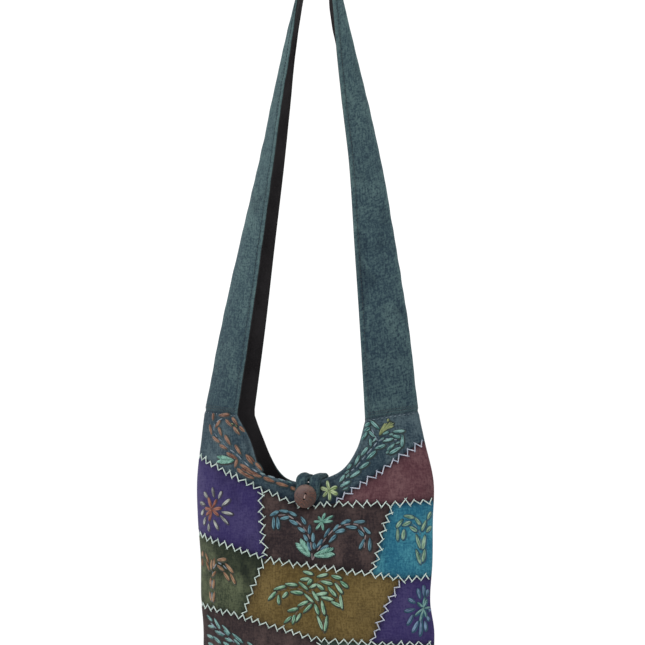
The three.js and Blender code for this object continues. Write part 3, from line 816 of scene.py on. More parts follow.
def floss(name):
    """Embroidery thread of one colour."""
    made, tree, shader = new_material(name + "_floss")
    lit, shaded = (colour(*tone) for tone in THREADS[name])
    inputs = {"Flat": flat_in(tree), "Tone": mark(tree, "tone"), "Thread": lit, "Shade": shaded}
    finish = put(tree, "ShaderNodeGroup", inputs, node_tree=TWISTED_FLOSS).outputs
    dress(tree, shader, *finish, bump=0.6, depth=0.0003, shine=0.3, sheen=0.15)
    return made


def lining_cotton():
    """Smooth black lining with a faint weave and grey wear."""
    made, tree, shader = new_material("black_lining")
    cloud = stretched_noise(tree, place_in(tree), (24, 24, 18), 3)
    thread = stretched_noise(tree, flat_in(tree), (700, 500, 1), 2)
    shade = mixed(tree, ranged(tree, cloud, 0.35, 0.7), colour(32, 30, 32), colour(46, 44, 46))
    shade = mixed(tree, ranged(tree, thread, 0.4, 0.8, 0.0, 0.5), shade, colour(60, 57, 58))
    rough = ranged(tree, thread, 0.3, 0.7, 0.75, 0.9)
    dress(tree, shader, shade, rough, thread, bump=0.35, depth=0.0005, shine=0.12, sheen=0.05)
    return made


def post_thread():
    """Dull thread wound round the button's post: noise drawn out along the turns of the thread."""
    made, tree, shader = new_material("post_thread")
    wound = stretched_noise(tree, place_in(tree), (200, 2500, 200), 2)
    shade = mixed(tree, ranged(tree, wound, 0.35, 0.65), colour(96, 74, 70), colour(52, 38, 38))
    dress(tree, shader, shade, ranged(tree, wound, 0.3, 0.7, 0.6, 0.8))
    return made


# Places on the button's shell: middle of its growth lines, a painted grey reflection on the upper left,
# painted shade on the lower right and a warm painted highlight below the middle. Then the step of the
# growth lines and the lean of the scratches.
GROWTH_MIDDLE = (-14.0, -40.0, -752.0)
GREY_SHEEN_PLACE = (-13.0, -36.0, -715.0)
SHADED_SIDE_PLACE = (9.0, -36.0, -736.0)
WARM_HIGHLIGHT_PLACE = (BUTTON_X - 3.0, -36.0, BUTTON_Z - 8.0)
BUTTON_MIDDLE = (BUTTON_X, -36.0, BUTTON_Z)
GROWTH_STEP = 3.6
SCRATCH_LEAN = 0.7


def distance_from(tree, place, middle):
    """Distance of a place from a point of the bag, which is given in millimetres."""
    settings = {0: place, 1: tuple(MM * v for v in middle)}
    return put(tree, "ShaderNodeVectorMath", settings, operation="DISTANCE").outputs["Value"]


def shell_button():
    """Polished coconut shell: waves of light and dark growth lines by the distance from a point below the
    button, a painted grey reflection on the upper left, painted shade on the lower right, a warm painted
    highlight below the middle, a painted highlight on the upper rim, scratches and pores, and painted shade
    in the holes."""
    made, tree, shader = new_material("coconut_shell")
    place = place_in(tree)
    cloud = stretched_noise(tree, place, (120, 90, 110), 3)
    ring = times(tree, distance_from(tree, place, GROWTH_MIDDLE), 2 * np.pi / (GROWTH_STEP * MM))
    ring = plus(tree, ring, times(tree, cloud, 30.0))
    growth = ranged(tree, sums(tree, "SINE", ring), -0.9, 0.9)
    lean = {"Vector": place, "Angle": SCRATCH_LEAN}
    leaned = put(tree, "ShaderNodeVectorRotate", lean, rotation_type="Y_AXIS").outputs[0]
    scratch = stretched_noise(tree, leaned, (480, 150, 100), 2)
    pore = stretched_noise(tree, place, (420, 300, 380), 1)
    shade = mixed(tree, growth, colour(84, 47, 32), colour(52, 30, 23))
    shade = mixed(tree, ranged(tree, cloud, 0.45, 0.65, 0.0, 0.4), shade, colour(60, 34, 26))
    # Painted shade on the lower right.
    dark = ranged(tree, distance_from(tree, place, SHADED_SIDE_PLACE), 0.003, 0.024, 0.8, 0.0)
    shade = mixed(tree, dark, shade, colour(36, 19, 13))
    # A warm painted highlight below the middle.
    warm = ranged(tree, distance_from(tree, place, WARM_HIGHLIGHT_PLACE), 0.001, 0.009, 0.9, 0.0)
    warm = times(tree, warm, ranged(tree, cloud, 0.35, 0.6, 0.2, 1.0))
    shade = mixed(tree, warm, shade, colour(98, 66, 48))
    # A painted grey reflection on the upper left.
    grey = ranged(tree, distance_from(tree, place, GREY_SHEEN_PLACE), 0.002, 0.021, 0.95, 0.0)
    shade = mixed(tree, grey, shade, colour(93, 73, 72))
    # A painted highlight on the upper rim.
    rim = ranged(tree, distance_from(tree, place, BUTTON_MIDDLE), 0.0115, 0.0135, 0.0, 0.55)
    high = put(tree, "ShaderNodeSeparateXYZ", {0: place}).outputs[2]
    rim = times(tree, rim, ranged(tree, high, MM * (BUTTON_Z + 2), MM * (BUTTON_Z + 12)))
    shade = mixed(tree, rim, shade, colour(108, 86, 76))
    shade = mixed(tree, ranged(tree, scratch, 0.66, 0.73, 0.0, 0.8), shade, colour(130, 94, 68))
    shade = mixed(tree, ranged(tree, scratch, 0.36, 0.29, 0.0, 0.5), shade, colour(26, 16, 14))
    shade = mixed(tree, ranged(tree, pore, 0.62, 0.72, 0.0, 0.6), shade, colour(26, 16, 14))
    # Painted shade in the sunk holes.
    shade = mixed(tree, mark(tree, "hole"), shade, colour(14, 9, 9))
    rough = ranged(tree, cloud, 0.3, 0.7, 0.2, 0.4)
    dress(tree, shader, shade, rough, scratch, bump=0.3, depth=0.0003, shine=0.4)
    return made


COTTON = {name: cotton(name) for name in COTTONS}
FLOSS = {name: floss(name) for name in THREADS}
LINING_FINISH = lining_cotton()
SHELL_FINISH = shell_button()
POST_FINISH = post_thread()


# Cloth pieces


def corner_of(place):
    """A corner by its name, or as it is given."""
    return CORNERS[place] if isinstance(place, str) else place


def border_at(border, share):
    """Places on a border of straight runs between corners, by the share of the way along it."""
    knots = np.array(list(border), float)
    corners = np.array([corner_of(place) for place in border.values()], float)
    return np.stack([np.interp(share, knots, corners[:, k]) for k in (0, 1)], -1)


def crowded(count, low, high):
    """Shares from 0 to 1 that crowd towards an end where the cloth turns round a side seam."""
    t = np.linspace(0, 1, count)
    if low and high:
        return 0.5 - 0.5 * np.cos(np.pi * t)
    if low:
        return t**CROWD
    return 1 - (1 - t) ** CROWD if high else t


def inner_face(side, outer, normal):
    """The inner face of a sheet of the body, kept on its own side of the plane of the side seams."""
    inner = outer - CLOTH * normal
    limit = np.minimum if side == FRONT else np.maximum
    inner[..., 1] = limit(inner[..., 1], 0.0)
    return inner


def body_piece(name, side, place, outer, normal, seam, worn, finish):
    """A closed sheet of the body from its outer face, with its dark marks of unwashed dye and painted shade,
    and its rubbed marks of wear and painted sheen.
    """
    points, quads, _ = closed_sheet([(outer, inner_face(side, outer, normal))])
    marks = {"seam": both_faces(seam), "worn": both_faces(worn)}
    return make_piece("sewn_" + name, points, quads, straight_grain(place), marks, COTTON[finish])


def seam_marks(away):
    """How dark the cloth is by its distance from a sewn seam, partly unwashed dye and partly painted shade: a
    narrow plus a wide bell curve.
    """
    return sum(dark * bell(away, wide) for dark, wide in SEAM_MARKS)


# Places of the patches that are paler: rubbed wear, and along the left side painted sheen where the
# light from the left grazes the cloth. X, height, reach across and up, and how much.
RUBBED_AND_SHEEN_PLACES = [
    (-52, -735, 13, 7, 0.6),
    (14, -742, 22, 4, 0.55),
    (62, -741, 26, 4, 0.45),
    # Painted sheen along the left side seam.
    (-158, -735, 9, 55, 0.65),
    (-156, -826, 13, 36, 0.95),
    (-118, -842, 26, 14, 0.4),
    (-95, -862, 12, 8, 0.4),
    (146, -812, 16, 14, 0.4),
    (66, -855, 30, 32, 0.4),
    (118, -872, 34, 36, 0.25),
    (104, -712, 40, 10, 0.25),
    (-70, -925, 90, 40, 0.4),
]
# The paler places are broken up by a ripple: their even and uneven share, and its seed and length.
RUBBED_EVEN, RUBBED_UNEVEN, RUBBED_SEED, RUBBED_LONG = 0.75, 0.35, 71, 16


def wear_and_sheen_marks(points):
    """How pale the cloth is, by rubbed wear and by painted sheen along the left side: a soft round spot for
    each place, broken up by an uneven ripple.
    """
    x, z = points[..., 0], points[..., 2]
    worn = sum(share * spot(x, z, *reach) for *reach, share in RUBBED_AND_SHEEN_PLACES)
    return np.clip(worn * (RUBBED_EVEN + RUBBED_UNEVEN * ripple(RUBBED_SEED, x, z, RUBBED_LONG)), 0, 1)


# Distance of a point from an edge that isn't sewn, and the difference below which two distances are one.
FAR_AWAY, TOUCHING = 1e3, 1e-6


def sewn(points, edges):
    """Distance of each grid point from the nearest of its sewn edges, and a place along that seam."""
    u, v = run_lengths(points, 1), run_lengths(points, 0)
    distances = {"left": u, "right": u[:, -1:] - u, "top": v, "bottom": v[-1:] - v}
    places = {"left": v, "right": v, "top": u, "bottom": u}
    away = np.full(u.shape, FAR_AWAY)
    along = np.zeros(u.shape)
    for edge in edges:
        nearer = distances[edge] < away
        away = np.where(nearer, distances[edge], away)
        along = np.where(nearer, places[edge], along)
    return away, along


def gathered(points, normal, away, along, seed):
    """Cloth drawn down into its seams as a bell curve, with small puckers across them: waves along the seam
    that fade away from it and have an uneven step."""
    dip = SEAM_DIP * bell(away, SEAM_WIDE)
    phase = 2 * np.pi * along / PUCKER_LONG + PUCKER_UNEVEN * ripple(seed, along, away, PUCKER_DRIFT)
    pucker = PUCKER_HIGH * np.exp(-away / PUCKER_REACH) * np.sin(phase)
    calm = 1 - np.exp(-away / SEAM_CALM)
    return points + normal * (pucker * calm - dip)[..., None]


# Seeds of the puckers.
PATCH_SEED, YOKE_SEED, BACK_SEED, STRAP_SEED = 40, 31, 33, 35


def patch(name, number):
    """A patch of the front: ruled between its top and bottom borders on the wall."""
    finish, top, bottom = PATCHES[name]
    rows, columns = PATCH_GRID
    left_seam, right_seam = (abs(corner_of(top[k])[0]) == 1 for k in (0, 1))
    across = np.union1d(crowded(columns, left_seam, right_seam), [*top, *bottom])
    if top[0] == bottom[0]:
        across = TIP_CUT + (1 - TIP_CUT) * across
    closed = corner_of(bottom[0])[1] == BOTTOM
    down = crowded(rows, False, closed)[:, None, None]
    place = between(border_at(top, across), border_at(bottom, across), down)
    outer, normal = cloth(FRONT, place[..., 0], place[..., 1])
    edges = ["top"] + ["bottom"] * (not closed) + ["left"] * (not left_seam) + ["right"] * (not right_seam)
    away, along = sewn(outer, edges)
    outer = gathered(outer, normal, away, along, PATCH_SEED + number)
    return body_piece(name, FRONT, place, outer, normal, seam_marks(away), wear_and_sheen_marks(outer), finish)


def neck_at(side, share):
    """Places of the neckline on a wall, by the share of the way from the left strap seam to the right one."""
    row = rows_at(NECKLINE, share)
    return row[..., 1:3] if side == FRONT else row[..., 3:5]


def band(side, border, grid):
    """Places of a band that runs from the neckline out to a border, and the share of the way out."""
    rows, columns = grid
    out = crowded(rows, True, True)[:, None, None]
    share = np.union1d(np.linspace(0, 1, columns), list(border))
    return between(neck_at(side, share), border_at(border, share), out), out[..., 0]


def hem(points, normal, away):
    """A turned hem along an edge: a low ridge that ends in the groove of its stitches."""
    ridge = HEM_PROUD * np.clip((HEM_WIDE - away) / HEM_SLOPE, 0, 1)
    groove = HEM_GROOVE * bell(away - HEM_WIDE + HEM_STITCH, HEM_GROOVE_WIDE)
    return points + normal * (ridge - groove)[..., None]


def hem_marks(away, marks):
    """How dark a hem is in its groove, partly unwashed dye and partly painted shade, and how rubbed along its
    edge.
    """
    dark, dark_wide, pale, pale_wide = marks
    return dark * bell(away - HEM_WIDE + HEM_DARK_IN, dark_wide), pale * bell(away, pale_wide)


def rubbed_line(away, line):
    """A rubbed line at a set distance from a seam."""
    much, place, wide = line
    return much * bell(away - place, wide)


# Painted shade on the yoke round the button, where the mouth is drawn in: a spot by its place, its reach
# across and up, and how much.
MOUTH_SHADE_SPOT, MOUTH_SHADE = (PINCH_X, PINCH_Z - 14, 75, 24), 0.32


def yoke():
    """The plain top of the front, from the neckline down to the patches."""
    place, _ = band(FRONT, YOKE_BORDER, YOKE_GRID)
    outer, normal = cloth(FRONT, place[..., 0], place[..., 1])
    on_side = np.abs(place[-1, :, 0]) == 1
    away, along = sewn(outer, ["bottom", "left", "right"])
    from_ends, _ = sewn(outer, ["left", "right"])
    away = np.where(on_side[None, :], from_ends, away)
    from_neck, _ = sewn(outer, ["top"])
    outer = gathered(outer, normal, away, along, YOKE_SEED)
    outer = hem(outer, normal, from_neck)
    groove, worn = hem_marks(from_neck, NECK_HEM)
    seam = seam_marks(away) * np.where(from_ends < away + TOUCHING, BODY_END_DARK, 1.0)
    # Painted shade round the button.
    mouth = MOUTH_SHADE * spot(outer[..., 0], outer[..., 2], *MOUTH_SHADE_SPOT)
    seam = np.clip(np.maximum(seam, groove) + mouth, 0, 1)
    worn = worn + rubbed_line(from_ends, YOKE_LINE)
    return body_piece("yoke", FRONT, place, outer, normal, seam, worn, "deep_teal")


# Height of a fold of the back that is rubbed in full, how much it is rubbed on a ridge, and how much
# painted shade lies in a hollow.
RIDGE_FULL, RIDGE_WEAR_AND_SHADE = 3.0, 0.36


def back_panel():
    """The whole back in one plain panel, its folds rubbed paler along their ridges, with painted shade in
    their hollows.
    """
    place, _ = band(BACK, PANEL_BORDER, PANEL_GRID)
    outer, normal = cloth(BACK, place[..., 0], place[..., 1])
    from_ends, along = sewn(outer, ["left", "right"])
    from_neck, _ = sewn(outer, ["top"])
    outer = gathered(outer, normal, from_ends, along, BACK_SEED)
    outer = hem(outer, normal, from_neck)
    groove, worn = hem_marks(from_neck, NECK_HEM)
    ridge = np.clip(fold_height(BACK_FOLDS, outer[..., 0], outer[..., 2]) / RIDGE_FULL, -1, 1)
    worn = worn + RIDGE_WEAR_AND_SHADE * np.clip(ridge, 0, 1) ** 2
    # Painted shade in the hollows of the folds.
    seam = np.maximum(BODY_END_DARK * seam_marks(from_ends), groove) + RIDGE_WEAR_AND_SHADE * np.clip(-ridge, 0, 1)
    return body_piece("back_panel", BACK, place, outer, normal, seam, worn, "teal")


def lining():
    """The pouch inside: both walls drawn in behind the cloth, close to it at the neckline, loose below."""
    grids = []
    for side in (FRONT, BACK):
        place, out = band(side, PANEL_BORDER, LINING_GRID)
        s, z = place[..., 0], place[..., 1]
        loose = LINING_LOOSE * np.clip(out * LOOSE_RATE, 0, 1)
        last = z.shape[1] - 1
        z = z + LINING_TUCK * np.isin(np.arange(last + 1), (0, last))
        lift = np.clip((PINCH_Z - z) / (PINCH_Z - BOTTOM), 0, 1)
        faces = []
        for depth in (CLOTH + LINING_GAP, CLOTH + LINING_GAP + LINING_CLOTH):
            inset = depth + loose
            rise = LINING_RISE + inset
            faces.append(wall(side, s, z + rise * lift - LINING_LOW, inset, rise))
        grids.append(faces)
    points, quads, uv = closed_sheet(grids)
    return make_piece("sewn_lining", points, quads, uv, {}, LINING_FINISH)


# Strap


def strap_stations():
    """Sections of the strap from the left seam over the bend to the right seam, by distance along its fold:
    place of the fold, the direction in to its edges, and how far in and how deep each edge lies."""
    halves = []
    for sign, (_, seam_z), fall, column in ((-1, LEFT_TOP, LEFT_FALL, 1), (1, RIGHT_TOP, RIGHT_FALL, 2)):
        row = rows_at(OUTLINE, np.float64(seam_z))
        inset = (1 - HORN_SHARE) * (row[2] - row[1]) / 2
        deep = lens(HORN_SHARE)
        seam = (row[column], seam_z, -sign, -fall / inset, inset, row[3] * deep, inset, row[4] * deep)
        half = [seam]
        for height, left, right, front_in, front_deep, left_in, right_in, back_deep in STRAP:
            fold, back_in = (left, left_in) if sign < 0 else (right, right_in)
            half.append((fold, height, np.nan, np.nan, front_in, front_deep, back_in, back_deep))
        halves.append(half)
    angles = np.radians(BEND_ANGLES)
    middle = BEND_TOP - BEND_R
    bend = [(BEND_R * np.cos(a), middle + BEND_R * np.sin(a), np.nan, np.nan, *BEND_SECTION) for a in angles]
    rows = np.array(halves[0] + bend + halves[1][::-1])
    order = np.arange(len(rows))
    heading = unit(rows[np.minimum(order + 1, len(rows) - 1), :2] - rows[np.maximum(order - 1, 0), :2])
    inward = np.stack([heading[:, 1], -heading[:, 0]], -1)
    rows[:, 2:4] = np.where(np.isnan(rows[:, 2:4]), inward, rows[:, 2:4])
    return np.column_stack([walked_along(rows[:, :2]), rows])


STATIONS = strap_stations()
STRAP_LENGTH = STATIONS[-1, 0]


def strap_point(along, across):
    """Outer face of the strap: across is -1 at the front edge, 0 on the fold, 1 at the back edge. A point
    goes in from the fold evenly, and out to its depth by the same lens curve as the wall below."""
    row = np.moveaxis(rows_at(STATIONS, along), -1, 0)
    share = np.abs(across)
    front = across < 0
    inward = share * np.where(front, row[5], row[7])
    deep = np.where(front, row[6], row[8])
    curve = lens(1 - share * (1 - HORN_SHARE)) / lens(HORN_SHARE)
    y = np.sign(across) * curve * deep
    return np.stack([row[1] + inward * row[3], y, row[2] + inward * row[4]], -1)


def strap_frame(along, across):
    """Point and outward normal of the strap's outer face, by small steps."""
    before, after = (np.clip(along + step, 0, STRAP_LENGTH) for step in (-STRAP_STEP, STRAP_STEP))
    low, high = (np.clip(across + step, -1, 1) for step in (-STRAP_SHARE_STEP, STRAP_SHARE_STEP))
    onward = strap_point(after, across) - strap_point(before, across)
    sideways = strap_point(along, high) - strap_point(along, low)
    return strap_point(along, across), unit(np.cross(onward, sideways))


def strap_grid(rows, columns):
    """Distances along and shares across the strap, closer together round its fold."""
    t = np.linspace(-1, 1, columns)
    across = np.sign(t) * np.abs(t) ** STRAP_CROWD
    along = np.linspace(0, STRAP_LENGTH, rows)
    return np.broadcast_arrays(along[:, None], across[None, :])


def strap_cloth(along, across):
    """The strap's outer face with its long creases and an uneven ripple that die away at its seams."""
    point, normal = strap_frame(along, across)
    calm = np.clip(np.minimum(along, STRAP_LENGTH - along) / STRAP_CALM, 0, 1)
    relief = sum(
        high * ripple(seed, along / drawn, across * STRAP_HALF, wide)
        for seed, high, drawn, wide in STRAP_RIPPLES
    )
    return point + normal * (calm * relief)[..., None], normal


def strap():
    """The wide strap: one long folded band of the outer cloth with hemmed edges."""
    along, across = strap_grid(*STRAP_GRID)
    outer, normal = strap_cloth(along, across)
    from_edge, _ = sewn(outer, ["left", "right"])
    from_seam, place = sewn(outer, ["top", "bottom"])
    outer = hem(outer, normal, from_edge)
    outer = gathered(outer, normal, from_seam, place, STRAP_SEED)
    points, quads, uv = closed_sheet([(outer, outer - CLOTH * normal)])
    groove, worn = hem_marks(from_edge, STRAP_HEM)
    worn = worn + FOLD_WORN * bell(across * STRAP_HALF, FOLD_WIDE) + rubbed_line(from_seam, STRAP_LINE)
    height = outer[..., 2]
    left, right = (np.clip((height - low) / (high - low), 0, 1) for low, high in STRAP_FADES.values())
    worn = worn + STRAP_FADED * np.where(along < STRAP_LENGTH / 2, left, right)
    seam = np.maximum(groove, STRAP_END_DARK * seam_marks(from_seam))
    seam = seam + STRAP_DARK * np.clip((STRAP_DEEP - height) / STRAP_DEEP_LONG, 0, 1)
    marks = {"seam": both_faces(seam), "worn": both_faces(np.clip(worn, 0, 1))}
    return make_piece("sewn_strap", points, quads, uv, marks, COTTON["teal"])


def strap_lining():
    """The strap's black lining, right behind its cloth."""
    along, across = strap_grid(*STRAP_LINING_GRID)
    outer, normal = strap_cloth(along, across)
    start = outer - (CLOTH + LINING_GAP) * normal
    points, quads, uv = closed_sheet([(start, start - LINING_CLOTH * normal)])
    return make_piece("sewn_strap_lining", points, quads, uv, {}, LINING_FINISH)


# Button and loop


def loop_y(x, z):
    """Depth of the loop's middle where it lies on the yoke."""
    return front_y(x, z) - LOOP_R - LOOP_CLEAR


BUTTON_BACK = loop_y(BUTTON_X, LOOP_LOW) - LOOP_R - LOOP_TO_BUTTON


def loop_route():
    """The loop's way: sewn on the back edge of the mouth, over the front edge and once round the post."""
    rim = NECKLINE[:, 1:3]
    strands = []
    for back_x, front_x, top in LOOP_STRANDS:
        back_rim, fore_rim = (float(rows_at(rim, share_at(x, PINCH_Z))[1]) for x in (back_x, front_x))
        back_y = float(wall(BACK, share_at(back_x, back_rim), np.float64(back_rim))[1]) - LOOP_SEWN
        fore_y = front_y(front_x, fore_rim)
        yoke_z = fore_rim - FALL_YOKE
        strands.append([
            (back_x, back_y + EASE_SEWN, back_rim + LOOP_R + LOOP_CLEAR),
            ((back_x + front_x) / 2, (back_y + fore_y) / 2 + EASE_OVER, top),
            (front_x, fore_y - LOOP_R + EASE_EDGE, top - FALL_EDGE),
            (front_x, loop_y(front_x, yoke_z) + EASE_YOKE, yoke_z),
        ])
    bend = [(x, loop_y(x, LOOP_LOW + up), LOOP_LOW + up) for x, up in LOOP_BEND]
    route = np.array(strands[0] + bend + strands[1][::-1], float)
    return np.column_stack([walked_along(route), route])


def squared(wave, power):
    """A sine or cosine whose rounds are squared up by a power below 1."""
    return np.sign(wave) * np.abs(wave) ** power


def button_loop():
    """A flat turned tube of cloth carried along the loop's way: a rounded oblong with long creases, whose
    broad side faces away from the rim that it lies on."""
    route = loop_route()
    at = np.linspace(0, route[-1, 0], LOOP_RINGS)
    middle = rows_at(route, at)[:, 1:]
    heading = unit(np.gradient(middle, axis=0))
    away = middle - LOOP_RIM
    away[:, 0] = 0
    broad = unit(np.cross(heading, unit(away)))
    outward = np.cross(broad, heading)
    angle = np.linspace(0, 2 * np.pi, LOOP_SIDES, endpoint=False)
    wide = LOOP_HALF_WIDE * squared(np.cos(angle), LOOP_SQUARE_WIDE)
    thick = LOOP_HALF_THICK * squared(np.sin(angle), LOOP_SQUARE_THICK)
    creases = np.sin(LOOP_CREASES * angle)[None, :]
    crease = 1 + CREASE_DEEP * creases * (CREASE_STEADY + CREASE_WAVER * np.sin(at / CREASE_LONG)[:, None])
    drawn = 1 - (1 - LOOP_DRAWN) * bell(at - route[-1, 0] / 2, LOOP_DRAWN_LONG)
    points = middle[:, None] + (wide * crease * drawn[:, None])[..., None] * broad[:, None]
    points = points + (thick * crease)[..., None] * outward[:, None]
    faces = tube_faces(1, LOOP_RINGS, LOOP_SIDES)
    uv = np.stack(np.broadcast_arrays(angle[None, :] * LOOP_HALF_WIDE, at[:, None]), -1).reshape(-1, 2) * MM
    edge = LOOP_WORN * bell(np.sin(angle), LOOP_WORN_WIDE)
    worn = np.clip(edge + CREASE_WORN * creases * np.ones((LOOP_RINGS, 1)), 0, 1).ravel()
    marks = {"seam": np.full(len(worn), LOOP_DARK), "worn": worn}
    return make_piece("sewn_button_loop", points.reshape(-1, 3), faces, uv, marks, COTTON["teal"])


def button():
    """A domed round button: a profile turned about its axis, a little dished in the middle and sunk at two
    holes on the front."""
    r, thick = BUTTON_R, BUTTON_THICK
    profile = np.array([
        # radius, height over the back
        (0.02, thick - 0.35),
        (r * 0.24, thick - BUTTON_DISH),
        (r * 0.4, thick),
        (r * 0.65, thick - BUTTON_DOME * 0.3),
        (r * 0.85, thick - BUTTON_DOME * 0.75),
        (r - 0.8, thick - BUTTON_DOME * 1.1),
        (r, thick * 0.35),
        (r - 0.5, thick * 0.12),
        (r - 1.7, 0),
        (r * 0.5, 0),
        (0.02, 0),
    ])
    walked = walked_along(profile)
    table = np.column_stack([walked, profile])
    radius, height = rows_at(table, np.linspace(0, walked[-1], BUTTON_RINGS)).T[1:, :, None]
    angle = np.linspace(0, 2 * np.pi, BUTTON_SIDES, endpoint=False)
    x, up = radius * np.cos(angle), radius * np.sin(angle)
    hole_x, hole_up = HOLE_STEP / 2 * HOLE_WAY
    near = np.minimum(np.hypot(x - hole_x, up - hole_up), np.hypot(x + hole_x, up + hole_up))
    sunk = np.clip((HOLE_R + HOLE_ROUND - near) / (2 * HOLE_ROUND), 0, 1) * (height > HOLE_FLOOR)
    tall = height - HOLE_DEEP * sunk
    points = np.stack([BUTTON_X + x, BUTTON_BACK - tall, BUTTON_Z + up], -1).reshape(-1, 3)
    faces = tube_faces(1, BUTTON_RINGS, BUTTON_SIDES)
    uv = np.stack([x, up], -1).reshape(-1, 2) * MM
    return make_piece("turned_button", points, faces, uv, {"hole": sunk.ravel()}, SHELL_FINISH)


def button_face(x, up):
    """The flat middle of the button's front for its thread, by X and height from its centre."""
    y = np.full(x.shape, BUTTON_BACK - BUTTON_THICK + BUTTON_DISH)
    normal = np.broadcast_to(np.array([0.0, -1.0, 0.0]), (*x.shape, 3))
    return np.stack([BUTTON_X + x, y, BUTTON_Z + up], -1), normal


# Stitches

# Cross section of a stitch of two plies side by side: across, height over the cloth, and how dull it is:
# painted shade on its edges and in its middle groove, painted light on the ridge of its paler ply.
PLIES = np.array([
    (-1.0, 0.0, 0.7),
    (-0.78, 0.6, 0.15),
    (-0.45, 1.0, -0.15),
    (0.0, 0.55, 0.6),
    (0.42, 0.95, 0.3),
    (0.75, 0.6, 0.55),
    (1.0, 0.0, 0.9),
    (0.0, -0.25, 0.9),
])
# The way to the upper left, toward which the paler ply of a stitch turns with its painted light, and the
# rings of points along a stitch from end to end.
LIT_PLY_WAY = np.array([-0.6, 0.0, 0.8])
RINGS = np.array([-1.0, -0.86, -0.5, 0.0, 0.5, 0.86, 1.0])
# A stitch is widest a little past its middle, has ends of this share of its width, and swells by this power.
STITCH_LEAN, STITCH_TIP, STITCH_SWELL = 0.22, 0.2, 0.7
# Painted shade towards the ends of a stitch and its power, then how far its own tone and that of each ply
# vary.
END_SHADE, END_POWER = 0.4, 3
STITCH_TONES, PLY_TONES = (-0.2, 0.3), (-0.15, 0.15)
# Length of a stitch for one step of its floss, and how far each stitch is shifted on the floss.
FLOSS_LONG, FLOSS_SHIFT = 6.0, 5.3
# Angle in degrees from which an edge of a stitch is sharp.
STITCH_CREASE = 80


def stitch_piece(name, surface, starts, ends, sizes, finish, seed):
    """Many stitches in one mesh, by their width, their height over the cloth and how blunt they are. Each
    runs straight on its surface from start to end; its section swells from the ends to the middle as 1 less
    the power blunt of the distance from its widest place. Its paler ply, with painted light, lies on the
    upper left, and its edges, groove and ends carry painted shade."""
    wide, tall, blunt = (np.broadcast_to(v, len(starts))[:, None] for v in sizes)
    f = (RINGS + 1) / 2
    place = between(starts[:, None], ends[:, None], f[:, None])
    middle, normal = surface(place[..., 0], place[..., 1])
    side = unit(np.cross(normal, unit(np.gradient(middle, axis=1))))
    # The paler ply, with its painted light, turns to the upper left.
    turned = np.sum(side * LIT_PLY_WAY, -1).mean(-1) > 0
    side = np.where(turned[:, None, None], -side, side)
    leaned = RINGS - STITCH_LEAN * (1 - RINGS**2)
    swell = STITCH_TIP + (1 - STITCH_TIP) * (1 - np.abs(leaned) ** blunt) ** STITCH_SWELL
    across = (swell * wide / 2)[..., None] * PLIES[:, 0]
    height = (np.sqrt(swell) * tall)[..., None] * PLIES[:, 1]
    points = middle[:, :, None] + across[..., None] * side[:, :, None]
    points = points + height[..., None] * normal[:, :, None]
    count, rings, plies = points.shape[:3]
    quads, caps = tube_faces(count, rings, plies)
    quads = np.where(np.repeat(turned, len(quads) // count)[:, None], quads[:, ::-1], quads)
    caps = np.where(np.concatenate([turned, turned])[:, None], caps[:, ::-1], caps)
    length = np.linalg.norm(middle[:, -1] - middle[:, 0], axis=-1)
    u = f[:, None] * length[:, None, None] / FLOSS_LONG + np.arange(count)[:, None, None] * FLOSS_SHIFT
    uv = np.stack(np.broadcast_arrays(u, np.arange(plies) / plies), -1).reshape(-1, 2)
    rng = np.random.default_rng(seed)
    tone = PLIES[:, 2] + rng.uniform(*STITCH_TONES, (count, 1, 1))
    tone = tone + rng.uniform(*PLY_TONES, (count, 1, plies))
    # Painted shade towards the ends.
    tone = tone + END_SHADE * np.abs(RINGS[:, None]) ** END_POWER
    marks = {"tone": tone.ravel()}
    return make_piece(name, points.reshape(-1, 3), [quads, caps], uv, marks, FLOSS[finish], STITCH_CREASE)


def front_surface(s, z):
    """The front's cloth for stitches."""
    return cloth(FRONT, s, z)


# How blunt leaves and plain threads are, then width, height over the cloth and bluntness of other stitches.
LEAF_BLUNT, THREAD_BLUNT = 2.4, 8.0
ZIGZAG_SIZES = (1.4, 1.0, THREAD_BLUNT)
STEM_SIZES = (1.7, 0.9, THREAD_BLUNT)
NECK_SIZES = (1.8, 0.8, THREAD_BLUNT)
TOPSTITCH_SIZES = (0.7, 0.45, THREAD_BLUNT)
DASH_SIZES = (0.65, 0.4, THREAD_BLUNT)
BUTTON_STITCH_SIZES = (1.5, 0.9, THREAD_BLUNT)
# A leaf's height over the cloth, how far it runs past its charted ends, and how much its width varies.
LEAF_TALL, LEAF_PAST, LEAF_WIDTHS = 1.4, 0.09, (0.88, 1.15)
# Each leaf lies on a flat dark sheet of painted shadow, a little aside to the lower right: how far that runs
# past it, how much wider it is, how high, and how far it lies aside.
SHADOW_PAST, SHADOW_WIDER, SHADOW_TALL, SHADOW_ASIDE = 0.1, 2.8, 0.35, 0.6
# Seeds of the stitches.
CHART_SEED, ZIGZAG_SEED, LEAF_SEED, TOPSTITCH_SEED, BUTTON_SEED, DASH_SEED = 77, 50, 60, 90, 91, 92
